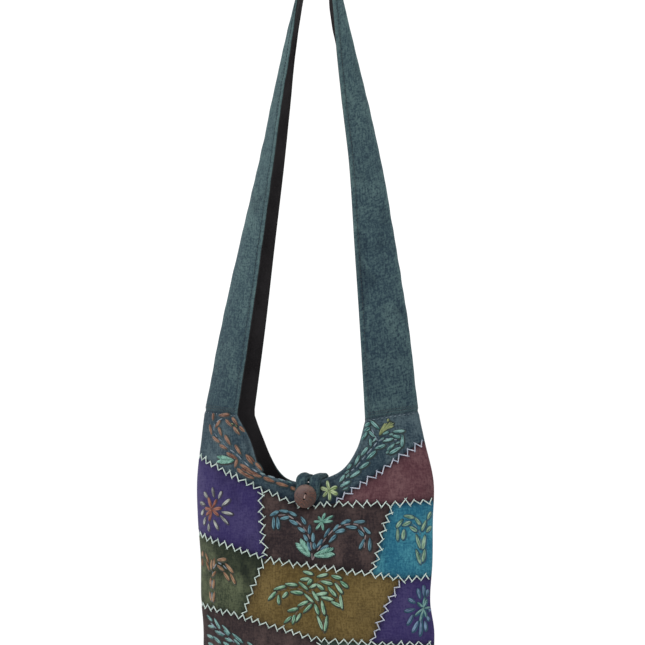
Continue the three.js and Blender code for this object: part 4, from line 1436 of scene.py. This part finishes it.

# Leaves and petals by motif: thread, width, thread of the painted shadow under them, then each one from end
# to end as X and height twice.
LEAVES = [
    # The branch on the left of the yoke, with its flower beside the strap.
    ("rust", 5.0, "dark_teal", [
        (-137, -629, -137, -621), (-126, -623, -111, -622), (-131, -638, -125, -630),
        (-139, -647, -142, -636), (-121, -648, -126, -639), (-125, -657, -136, -651),
        (-107, -659, -115, -649), (-113, -665, -124, -661), (-91, -671, -99, -661),
        (-98, -677, -112, -671), (-75, -683, -83, -673), (-101, -688, -97, -679), (-79, -691, -92, -685),
        (-63, -691, -70, -683), (-87, -697, -97, -691), (-71, -697, -84, -692), (-75, -702, -87, -697),
        (-64, -700, -74, -697), (-49, -706, -60, -701), (-33, -712, -45, -708), (-22, -717, -29, -714),
        (-106, -636, -115, -629), (-86, -643, -93, -637),
    ]),
    ("rust", 5.6, "dark_teal", [(-97, -634, -105, -626), (-94, -646, -102, -638)]),
    ("brick", 4.4, "dark_teal", [
        (-79, -694, -90, -690), (-68, -697, -80, -693), (-82, -700, -92, -694), (-72, -681, -80, -674),
    ]),
    ("lime", 1.8, "dark", [(-98, -640, -95, -644), (-106, -633, -103, -634), (-100, -635, -97, -637)]),
    # The branch on the right of the yoke, with its bud and the star at its foot.
    ("sage", 4.1, "dark_teal", [
        (75, -635, 80, -631), (71, -652, 77, -643), (91, -638, 82, -629), (86, -648, 80, -642),
        (74, -641, 80, -637), (82, -660, 81, -651), (71, -671, 78, -662), (78, -676, 87, -667),
        (63, -683, 68, -672), (69, -688, 79, -681), (53, -689, 58, -683), (57, -699, 68, -692),
        (42, -705, 49, -697), (43, -711, 55, -705), (97, -654, 107, -651), (88, -663, 98, -659),
        (96, -645, 102, -642), (108, -642, 119, -641), (107, -647, 115, -649), (118, -647, 118, -660),
        (109, -657, 102, -665), (116, -662, 105, -669),
    ]),
    ("sage", 2.4, "dark_teal", [
        (50, -695, 55, -691), (51, -699, 55, -696), (111, -657, 115, -655), (100, -669, 103, -667),
        (93, -652, 97, -650), (103, -646, 107, -645), (84, -655, 88, -650), (46, -715, 53, -713),
    ]),
    ("gold", 2.8, "dark_teal", [
        (92, -645, 97, -634), (93, -645, 100, -632), (94, -645, 103, -631), (95, -643, 105, -631),
        (97, -641, 107, -632), (99, -638, 107, -635), (96, -640, 98, -632), (101, -629, 102, -626),
    ]),
    ("lime", 5.4, "dark_teal", [
        (27, -716, 37, -712), (26, -715, 23, -705), (24, -716, 13, -714), (24, -717, 16, -724),
        (26, -718, 27, -728), (27, -717, 38, -721),
    ]),
    # The two arches of the brown patch and the star between them.
    ("steel", 4.7, "dark", [
        (-51, -749, -42, -744), (-40, -743, -30, -744), (-29, -744, -19, -749), (-47, -752, -46, -765),
        (-42, -752, -40, -765), (-38, -753, -28, -751), (-26, -755, -16, -760), (-12, -751, -5, -759),
        (-14, -764, -5, -769), (1, -761, 2, -771), (-5, -773, 0, -780), (7, -771, 8, -781),
        (1, -782, 5, -792), (9, -783, 11, -790), (14, -788, 20, -779), (23, -775, 29, -765),
        (30, -781, 38, -773), (19, -791, 28, -786), (35, -767, 41, -760), (38, -769, 49, -766),
        (45, -758, 56, -754), (52, -762, 64, -763), (62, -756, 74, -755), (67, -766, 73, -773),
        (74, -763, 81, -770), (74, -778, 69, -789), (81, -777, 81, -791),
    ]),
    ("jade", 3.8, "dark", [
        (18, -755, 21, -746), (19, -756, 32, -749), (19, -757, 32, -755), (18, -757, 21, -766),
        (17, -757, 11, -765), (16, -756, 7, -756), (17, -755, 12, -750),
    ]),
    # The star of the left purple patch and its ring.
    ("coral", 4.4, "dark_purple", [
        (-138, -741, -143, -729), (-136, -741, -130, -731), (-135, -743, -123, -741),
        (-136, -744, -127, -750), (-138, -745, -142, -757), (-139, -743, -149, -742),
        (-138, -744, -147, -750),
    ]),
    ("straw", 4.2, "dark_purple", [
        (-134, -726, -136, -716), (-126, -728, -122, -720), (-120, -737, -110, -730),
        (-120, -746, -106, -748), (-123, -751, -113, -760), (-134, -757, -128, -767),
        (-143, -762, -143, -770), (-149, -754, -152, -762), (-152, -744, -156, -750),
        (-150, -737, -158, -735), (-145, -728, -151, -722),
    ]),
    # The branch of the olive patch.
    ("tan", 4.4, "dark_green", [
        (-127, -807, -115, -806), (-128, -814, -119, -820), (-115, -812, -105, -822),
        (-118, -823, -111, -832), (-108, -825, -102, -836), (-133, -806, -134, -817),
        (-138, -808, -139, -819), (-131, -822, -137, -828), (-155, -797, -156, -803),
        (-156, -807, -156, -815), (-140, -831, -140, -841), (-134, -833, -136, -843),
        (-142, -849, -139, -859), (-134, -849, -136, -860),
    ]),
    ("tan", 3.6, "dark_green", [(-149, -800, -144, -810), (-148, -810, -143, -820)]),
    # The tree of the ochre patch.
    ("mint", 4.2, "dark_green", [
        (-3, -819, 8, -822), (-7, -829, 4, -828), (15, -825, 27, -822), (34, -824, 45, -827),
        (45, -831, 53, -838), (20, -831, 33, -834), (-9, -833, 1, -841), (2, -835, 7, -829),
        (5, -839, 13, -835), (14, -835, 22, -841), (29, -839, 38, -849), (38, -834, 46, -845),
        (-27, -835, -13, -836), (-43, -842, -29, -838), (-52, -855, -42, -846), (-38, -850, -38, -860),
        (-20, -845, -6, -846), (-2, -848, 8, -857), (8, -844, 15, -855), (13, -848, 26, -846),
        (20, -851, 34, -854), (33, -857, 44, -862), (44, -849, 46, -864), (-11, -862, 1, -857),
        (-25, -869, -13, -866), (-4, -870, 6, -861), (-31, -884, -22, -877), (-20, -885, -17, -875),
        (-15, -882, -9, -873), (11, -861, 15, -872), (20, -857, 23, -872), (14, -876, 20, -891),
        (26, -876, 23, -893), (-32, -852, -26, -846),
    ]),
    # The branch of the blue-green patch.
    ("olive_gold", 4.6, "dark_blue", [
        (122, -748, 132, -750), (134, -751, 139, -759), (119, -753, 113, -762), (120, -760, 128, -756),
        (128, -762, 135, -767), (114, -765, 114, -778), (121, -766, 120, -777), (135, -773, 139, -788),
        (144, -774, 142, -789), (135, -792, 139, -807), (144, -791, 142, -805), (145, -755, 141, -766),
        (147, -752, 150, -744), (146, -768, 150, -762),
    ]),
    # The star of the right purple patch and its ring.
    ("sage", 2.8, "dark_blue", [
        (142, -864, 136, -858), (142, -864, 145, -855), (142, -865, 145, -875), (142, -865, 134, -873),
        (142, -866, 139, -880), (142, -863, 143, -852), (143, -865, 148, -864),
    ]),
    ("sky", 3.4, "dark_blue", [
        (138, -851, 136, -841), (142, -848, 142, -837), (145, -849, 146, -842), (132, -857, 126, -853),
        (131, -866, 122, -868), (130, -874, 125, -884), (136, -882, 131, -893), (140, -881, 139, -897),
        (144, -882, 145, -892), (146, -875, 148, -880), (147, -867, 149, -868),
    ]),
    # The branches of the low brown patch.
    ("sage", 4.1, "dark", [
        (-148, -879, -140, -885), (-135, -883, -127, -894), (-122, -891, -112, -900),
        (-107, -901, -93, -911), (-85, -911, -78, -915), (-134, -898, -122, -903),
        (-118, -907, -109, -910), (-137, -906, -126, -913), (-147, -914, -139, -917),
        (-149, -904, -139, -907), (-147, -892, -137, -893), (-120, -897, -113, -902),
        (-121, -912, -113, -916), (-105, -908, -97, -914), (-92, -918, -82, -923), (-72, -918, -62, -926),
        (-78, -929, -66, -933), (-58, -930, -48, -939), (-64, -940, -52, -945), (-104, -920, -92, -925),
        (-124, -921, -112, -926), (-110, -931, -98, -935), (-140, -924, -128, -929),
        (-126, -936, -113, -940),
    ]),
]
# Large leaves of slanted stitches on both sides of a rib: thread, foot and tip as X and height, width.
FEATHERS = [
    ("jade", (-102, -680), (-129, -679), 10.5),
    ("jade", (5, -800), (-12, -781), 12.5),
    ("jade", (10, -799), (36, -793), 12.0),
]
# Pairs of stitches in a large leaf, and their width.
FEATHER_PAIRS, FEATHER_WIDE = 8, 3.2
# Part of the rib that stitches leave, how far forward they slant along it, and the part of the sine wave.
FEATHER_RIB, FEATHER_SLANT, FEATHER_FROM, FEATHER_PART = 0.72, 0.3, 0.16, 0.8
# Stems: thread, then points as X and height with one stitch from each to the next.
STEMS = [
    ("slate", [
        (-120, -626), (-133, -633), (-134, -645), (-127, -652), (-119, -657), (-108, -666), (-98, -671),
    ]),
    ("slate", [
        (-98, -671), (-88, -680), (-77, -689), (-66, -695), (-57, -698), (-45, -702), (-34, -706),
    ]),
    ("slate", [
        (44, -714), (49, -702), (57, -692), (63, -688), (71, -678), (77, -671), (85, -661), (90, -654),
    ]),
    ("slate", [(90, -654), (86, -646), (82, -637)]),
    ("slate", [(90, -654), (98, -651), (108, -652), (113, -652)]),
    ("beige", [
        (8, -806), (7, -793), (4, -779), (-1, -770), (-9, -762), (-20, -754), (-31, -748), (-44, -749),
    ]),
    ("beige", [
        (8, -806), (13, -794), (20, -784), (27, -774), (36, -764), (47, -760), (59, -758), (69, -760),
    ]),
    ("beige", [(69, -760), (76, -771), (75, -780), (74, -791)]),
    ("slate", [(-138, -863), (-138, -845), (-137, -830), (-136, -820), (-134, -805)]),
    ("slate", [(-136, -820), (-128, -810), (-120, -813), (-112, -820)]),
    ("bark", [
        (21, -900), (21, -874), (18, -864), (10, -848), (6, -838), (13, -833), (23, -829), (36, -830),
    ]),
    ("bark", [(36, -830), (46, -837), (48, -843)]),
    ("bark", [(8, -848), (-3, -843), (-14, -840), (-26, -841), (-37, -844), (-44, -852)]),
    ("bark", [(10, -858), (-2, -861), (-11, -868), (-18, -877), (-24, -886)]),
    ("bark", [(30, -844), (40, -849), (43, -857)]),
    ("steel", [(140, -812), (140, -790), (140, -773), (137, -764), (129, -757), (121, -754)]),
    ("slate", [
        (-144, -887), (-130, -897), (-116, -904), (-102, -914), (-88, -921), (-74, -928), (-60, -937),
    ]),
]
# Part of the way from one point of a stem to the next that its stitch covers.
STEM_FROM, STEM_TO = 0.1, 0.8
# Running stitches along the neckline beside the button, as X and height of each, with their turn and length.
NECK_STITCHES = [(-62, -696), (-52, -700), (-41, -704), (-31, -707)]
NECK_TURN, NECK_LONG = np.radians(-22), 7.0
# Dashes on the yoke: shares of the half width where they start and end, step and length, and distance below
# the strap's seam.
DASH_FROM, DASH_TO, DASH_STEP, DASH_LONG, DASH_BELOW = 0.62, 0.97, 0.034, 0.018, 2.2
# Topstitches along the strap: distance from its ends, step and length, and the shares across it by which its
# width is measured at an edge.
TOP_END, TOP_STEP, TOP_LONG = 6, 4.2, 2.9
EDGE_SHARES = (0.98, 0.96)
# Rows of topstitches across the strap: distance from its ends, then shares across it where they start and
# end, step and length.
CROSS_ROWS = (4.0, 7.0)
CROSS_FROM, CROSS_TO, CROSS_STEP, CROSS_LONG = -0.94, 0.93, 0.045, 0.032
# Half length of the button's stitch, as a share of the distance between its holes.
BAR_SHARE = 0.42

# Seams with zigzag stitches, by their corners.
ZIGZAG_SEAMS = {
    "ice": [
        ("yoke_left", "yoke_purple", "yoke_low", "yoke_maroon"),
        ("yoke_purple", "four_patches"),
        ("yoke_maroon", "maroon_aqua", "maroon_right"),
        ("maroon_aqua", "brown_aqua"),
        ("purple_low", "four_patches"),
        ("four_patches", "brown_aqua", "ochre_aqua", "aqua_right"),
        ("four_patches", "olive_ochre"),
        ("olive_low", "olive_ochre", "ochre_low", "ochre_purple", "purple_right"),
        ("ochre_low", "bottom_seam"),
    ],
    "lilac": [("yoke_maroon", "yoke_right"), ("ochre_aqua", "ochre_purple")],
}
# Zigzag stitches: reach to both sides of the seam, step along it, how uneven their steps and reaches are, and
# how far they run past their points. They stay inside the side seams and above the bottom.
ZIG_REACH, ZIG_STEP = 3.6, 6.0
ZIG_UNSTEADY, ZIG_REACHES, ZIG_PAST = 0.24, (0.6, 1.2), (0.02, 0.3)
ZIG_LOW, ZIG_HIGH = (-0.99, BOTTOM + 2), (0.99, 0)
# Points by which a seam is walked off.
SEAM_POINTS = 800


def zigzag(thread, seams, seed):
    """Zigzag stitches over seams: points at even, slightly unsteady steps along a seam lie to its left and
    right in turn, and a stitch joins each to the next."""
    rng = np.random.default_rng(seed)
    starts, ends = [], []
    for seam in seams:
        line = border_at(dict(enumerate(seam)), np.linspace(0, len(seam) - 1, SEAM_POINTS))
        walked = walked_along(wall(FRONT, line[:, 0], line[:, 1]))
        count = int(walked[-1] / ZIG_STEP)
        order = np.arange(count)
        at = (order + 0.5 + rng.uniform(-ZIG_UNSTEADY, ZIG_UNSTEADY, count)) * walked[-1] / count
        s, z = (np.interp(at, walked, line[:, k]) for k in (0, 1))
        point, across, up, _ = wall_frame(FRONT, s, z)
        heading = np.gradient(point, axis=0)
        right, rise = unit(np.stack([np.sum(heading * across, -1), np.sum(heading * up, -1)], -1)).T
        reach = ZIG_REACH * np.where(order % 2, 1, -1) * rng.uniform(*ZIG_REACHES, count)
        place = move_on_front(s, z, -rise * reach, right * reach)
        before, after = rng.uniform(*ZIG_PAST, (2, count - 1, 1)) * (place[1:] - place[:-1])
        starts.append(place[:-1] - before)
        ends.append(place[1:] + after)
    starts, ends = (np.clip(np.concatenate(v), ZIG_LOW, ZIG_HIGH) for v in (starts, ends))
    return stitch_piece("zigzag_" + thread, front_surface, starts, ends, ZIGZAG_SIZES, thread, seed)


def lay(s, z, turn, long):
    """Starts and ends on the front of stitches with a middle, a turn and a length on the cloth."""
    right, up = np.cos(turn) * long / 2, np.sin(turn) * long / 2
    return move_on_front(s, z, -right, -up), move_on_front(s, z, right, up)


def on_front(x, z):
    """Places on the front, by share and height, of points seen from the front."""
    return np.stack([share_at(x, z), z], -1)


def feather(foot, tip, wide):
    """A large leaf: stitches that leave its rib at even steps and slant forward to an edge that swells as
    part of half a sine wave between foot and tip, on both hands."""
    foot, tip = np.array(foot, float), np.array(tip, float)
    rib = tip - foot
    aside = np.array([-rib[1], rib[0]]) / np.linalg.norm(rib)
    step = np.linspace(0, FEATHER_RIB, FEATHER_PAIRS)
    reach = wide / 2 * np.sin(np.pi * (FEATHER_FROM + FEATHER_PART * step))
    root = foot + step[:, None] * rib
    edge = root + FEATHER_SLANT * rib
    starts = np.concatenate([root, root])
    ends = np.concatenate([edge + reach[:, None] * aside, edge - reach[:, None] * aside])
    return on_front(*starts.T), on_front(*ends.T)


def embroidery_charts():
    """Every leaf, petal and stem stitch by thread colour, with a flat dark sheet of painted shadow under each
    leaf: starts, ends, width, height over the cloth and how blunt it is."""
    rng = np.random.default_rng(CHART_SEED)
    rows = {name: [] for name in THREADS}

    def note(thread, starts, ends, wide, tall, blunt):
        sizes = np.column_stack([np.broadcast_to(v, len(starts)) for v in (wide, tall, blunt)])
        rows[thread].append(np.column_stack([starts, ends, sizes]))

    def shadowed_leaves(thread, edge, starts, ends, wide):
        note(thread, starts, ends, wide, LEAF_TALL, LEAF_BLUNT)
        # A flat dark sheet of painted shadow under the leaf, a little aside to the lower right.
        past = SHADOW_PAST * (ends - starts)
        low, high = (move_on_front(*v.T, SHADOW_ASIDE, -SHADOW_ASIDE) for v in (starts - past, ends + past))
        note(edge, low, high, wide + SHADOW_WIDER, SHADOW_TALL, LEAF_BLUNT)

    for thread, wide, edge, leaves in LEAVES:
        x0, z0, x1, z1 = np.array(leaves, float).T
        starts, ends = on_front(x0, z0), on_front(x1, z1)
        past = LEAF_PAST * (ends - starts)
        wide = wide * rng.uniform(*LEAF_WIDTHS, len(leaves))
        shadowed_leaves(thread, edge, starts - past, ends + past, wide)
    for thread, foot, tip, wide in FEATHERS:
        shadowed_leaves(thread, "dark", *feather(foot, tip, wide), FEATHER_WIDE)
    for thread, line in STEMS:
        points = on_front(*np.array(line, float).T)
        starts, ends = (between(points[:-1], points[1:], share) for share in (STEM_FROM, STEM_TO))
        note(thread, starts, ends, *STEM_SIZES)
    x, z = np.array(NECK_STITCHES, float).T
    note("sage", *lay(share_at(x, z), z, NECK_TURN, NECK_LONG), *NECK_SIZES)
    return {name: np.concatenate(found) for name, found in rows.items() if found}


def seam_dashes():
    """Light machine stitches on the yoke along both strap seams: even dashes at a set distance below them."""
    sides = (-DASH_TO, -DASH_FROM), (DASH_FROM, DASH_TO)
    share = np.concatenate([np.arange(first, last, DASH_STEP) for first, last in sides])
    starts, ends = (np.column_stack([s, strap_seam(s) - DASH_BELOW]) for s in (share, share + DASH_LONG))
    return starts, ends


def topstitches():
    """Machine stitches beside the hems of the strap and its seams: even dashes at a set distance in."""
    rows = []
    at = np.arange(TOP_END, STRAP_LENGTH - TOP_END, TOP_STEP)
    for edge in (-1, 1):
        outer, inner = (strap_point(at, edge * share) for share in EDGE_SHARES)
        per_share = np.linalg.norm(outer - inner, axis=-1) / (EDGE_SHARES[0] - EDGE_SHARES[1])
        share = edge * (1 - (HEM_WIDE - HEM_STITCH) / per_share)
        rows.append(np.column_stack([at, share, at + TOP_LONG, share]))
    share = np.arange(CROSS_FROM, CROSS_TO, CROSS_STEP)
    for place in CROSS_ROWS:
        for start in (place, STRAP_LENGTH - place):
            along = np.full(len(share), start)
            rows.append(np.column_stack([along, share, along, share + CROSS_LONG]))
    rows = np.concatenate(rows)
    return rows[:, :2], rows[:, 2:]


# Assembly

# Slots of the pieces, by the node that each replaces.
SLOTS = {name: finish + "_cloth" for name, (finish, _, _) in PATCHES.items()}
SLOTS.update(dict.fromkeys(("yoke", "back_panel", "strap", "button_loop"), "teal_cloth"))
SLOTS.update(lining="black_cloth", strap_lining="black_cloth", button="shell")


def sew():
    """Makes every piece of the bag, and hides the imported part that each replaces."""
    made = {name: patch(name, number) for number, name in enumerate(PATCHES)}
    for make in (yoke, back_panel, lining, strap, strap_lining, button_loop, button):
        made[make.__name__] = make()
    for node, piece in made.items():
        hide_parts(node)


def embroider():
    """Lays all stitches on the cloth."""
    for number, (thread, seams) in enumerate(ZIGZAG_SEAMS.items()):
        zigzag(thread, seams, ZIGZAG_SEED + number)
    for number, (thread, rows) in enumerate(embroidery_charts().items()):
        starts, ends, sizes = rows[:, :2], rows[:, 2:4], rows[:, 4:].T
        name = "embroidery_" + thread
        stitch_piece(name, front_surface, starts, ends, sizes, thread, LEAF_SEED + number)
    bar = BAR_SHARE * HOLE_STEP * HOLE_WAY[None]
    for name, surface, (starts, ends), sizes, thread, seed in (
        ("topstitch", strap_cloth, topstitches(), TOPSTITCH_SIZES, "navy", TOPSTITCH_SEED),
        ("seam_dashes", front_surface, seam_dashes(), DASH_SIZES, "slate", DASH_SEED),
        ("button_thread", button_face, (-bar, bar), BUTTON_STITCH_SIZES, "blush", BUTTON_SEED),
    ):
        stitch_piece(name, surface, starts, ends, sizes, thread, seed)


def thread_button():
    """Finishes the thread post of the button."""
    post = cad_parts["button_shank"]
    post.data.materials.clear()
    post.data.materials.append(POST_FINISH)


# Stage, in metres

# The view: its turn and rise, distance, width at the bag, middle, and how far it is moved aside.
VIEW_TURN, VIEW_RISE = np.radians(20), np.radians(0.5)
VIEW_FAR = 9.0
VIEW_WIDE = 0.819
VIEW_TARGET = Vector((0, 0, -0.5048))
VIEW_ASIDE = 0.003
SENSOR_WIDE, VIEW_END = 36.0, 200.0
FLOOR_Z, FLOOR_HALF = -1.25, 30.0
# Tones of the floor, and how bright the white room is.
FLOOR_TONES = (0.94, 0.94, 0.94, 1), (0.96, 0.96, 0.96, 1)
ROOM_LIGHT = 1.1
# Lights: name, place, power and size. Both point at the middle of the bag.
LIGHTS = [
    ("key_light", (-1.2, -2.6, 0.5), 8, 1.6),
    ("left_light", (-1.9, 0.6, -0.6), 9, 1.2),
]
LIT_MIDDLE = Vector((0, 0, -0.7))


def set_stage():
    """White floor and surroundings, a soft key light from the left, and the camera."""
    scene = bpy.context.scene
    scene.view_settings.view_transform = "Standard"

    def place(name, data):
        made = bpy.data.objects.new(name, data)
        scene.collection.objects.link(made)
        return made

    mesh = bpy.data.meshes.new("floor")
    corners = [(FLOOR_HALF * x, FLOOR_HALF * y, FLOOR_Z) for x, y in ((-1, -1), (1, -1), (1, 1), (-1, 1))]
    mesh.from_pydata(corners, [], [(0, 1, 2, 3)])
    floor = place("floor", mesh)
    made, tree, shader = new_material("pale_floor")
    cloud = stretched_noise(tree, place_in(tree), (3, 3, 3), 2)
    tree.links.new(mixed(tree, cloud, *FLOOR_TONES), shader.inputs["Base Color"])
    shader.inputs["Roughness"].default_value = 0.9
    mesh.materials.append(made)

    world = bpy.data.worlds.new("white_room")
    world.use_nodes = True
    white = world.node_tree.nodes["Background"]
    white.inputs[0].default_value = (1, 1, 1, 1)
    white.inputs[1].default_value = ROOM_LIGHT
    scene.world = world

    for name, where, power, size in LIGHTS:
        data = bpy.data.lights.new(name, "AREA")
        data.energy, data.size = power, size
        lamp = place(name, data)
        lamp.location = where
        lamp.rotation_euler = (LIT_MIDDLE - lamp.location).to_track_quat("-Z", "Y").to_euler()

    level = np.cos(VIEW_RISE)
    back = Vector((np.sin(VIEW_TURN) * level, -np.cos(VIEW_TURN) * level, np.sin(VIEW_RISE)))
    right = Vector((np.cos(VIEW_TURN), np.sin(VIEW_TURN), 0))
    data = bpy.data.cameras.new("camera")
    data.sensor_width = SENSOR_WIDE
    data.lens = SENSOR_WIDE * VIEW_FAR / VIEW_WIDE
    data.clip_end = VIEW_END
    camera = place("camera", data)
    camera.location = VIEW_TARGET + right * VIEW_ASIDE + back * VIEW_FAR
    camera.rotation_euler = (-back).to_track_quat("-Z", "Y").to_euler()
    scene.camera = camera


sew()
embroider()
thread_button()
set_stage()
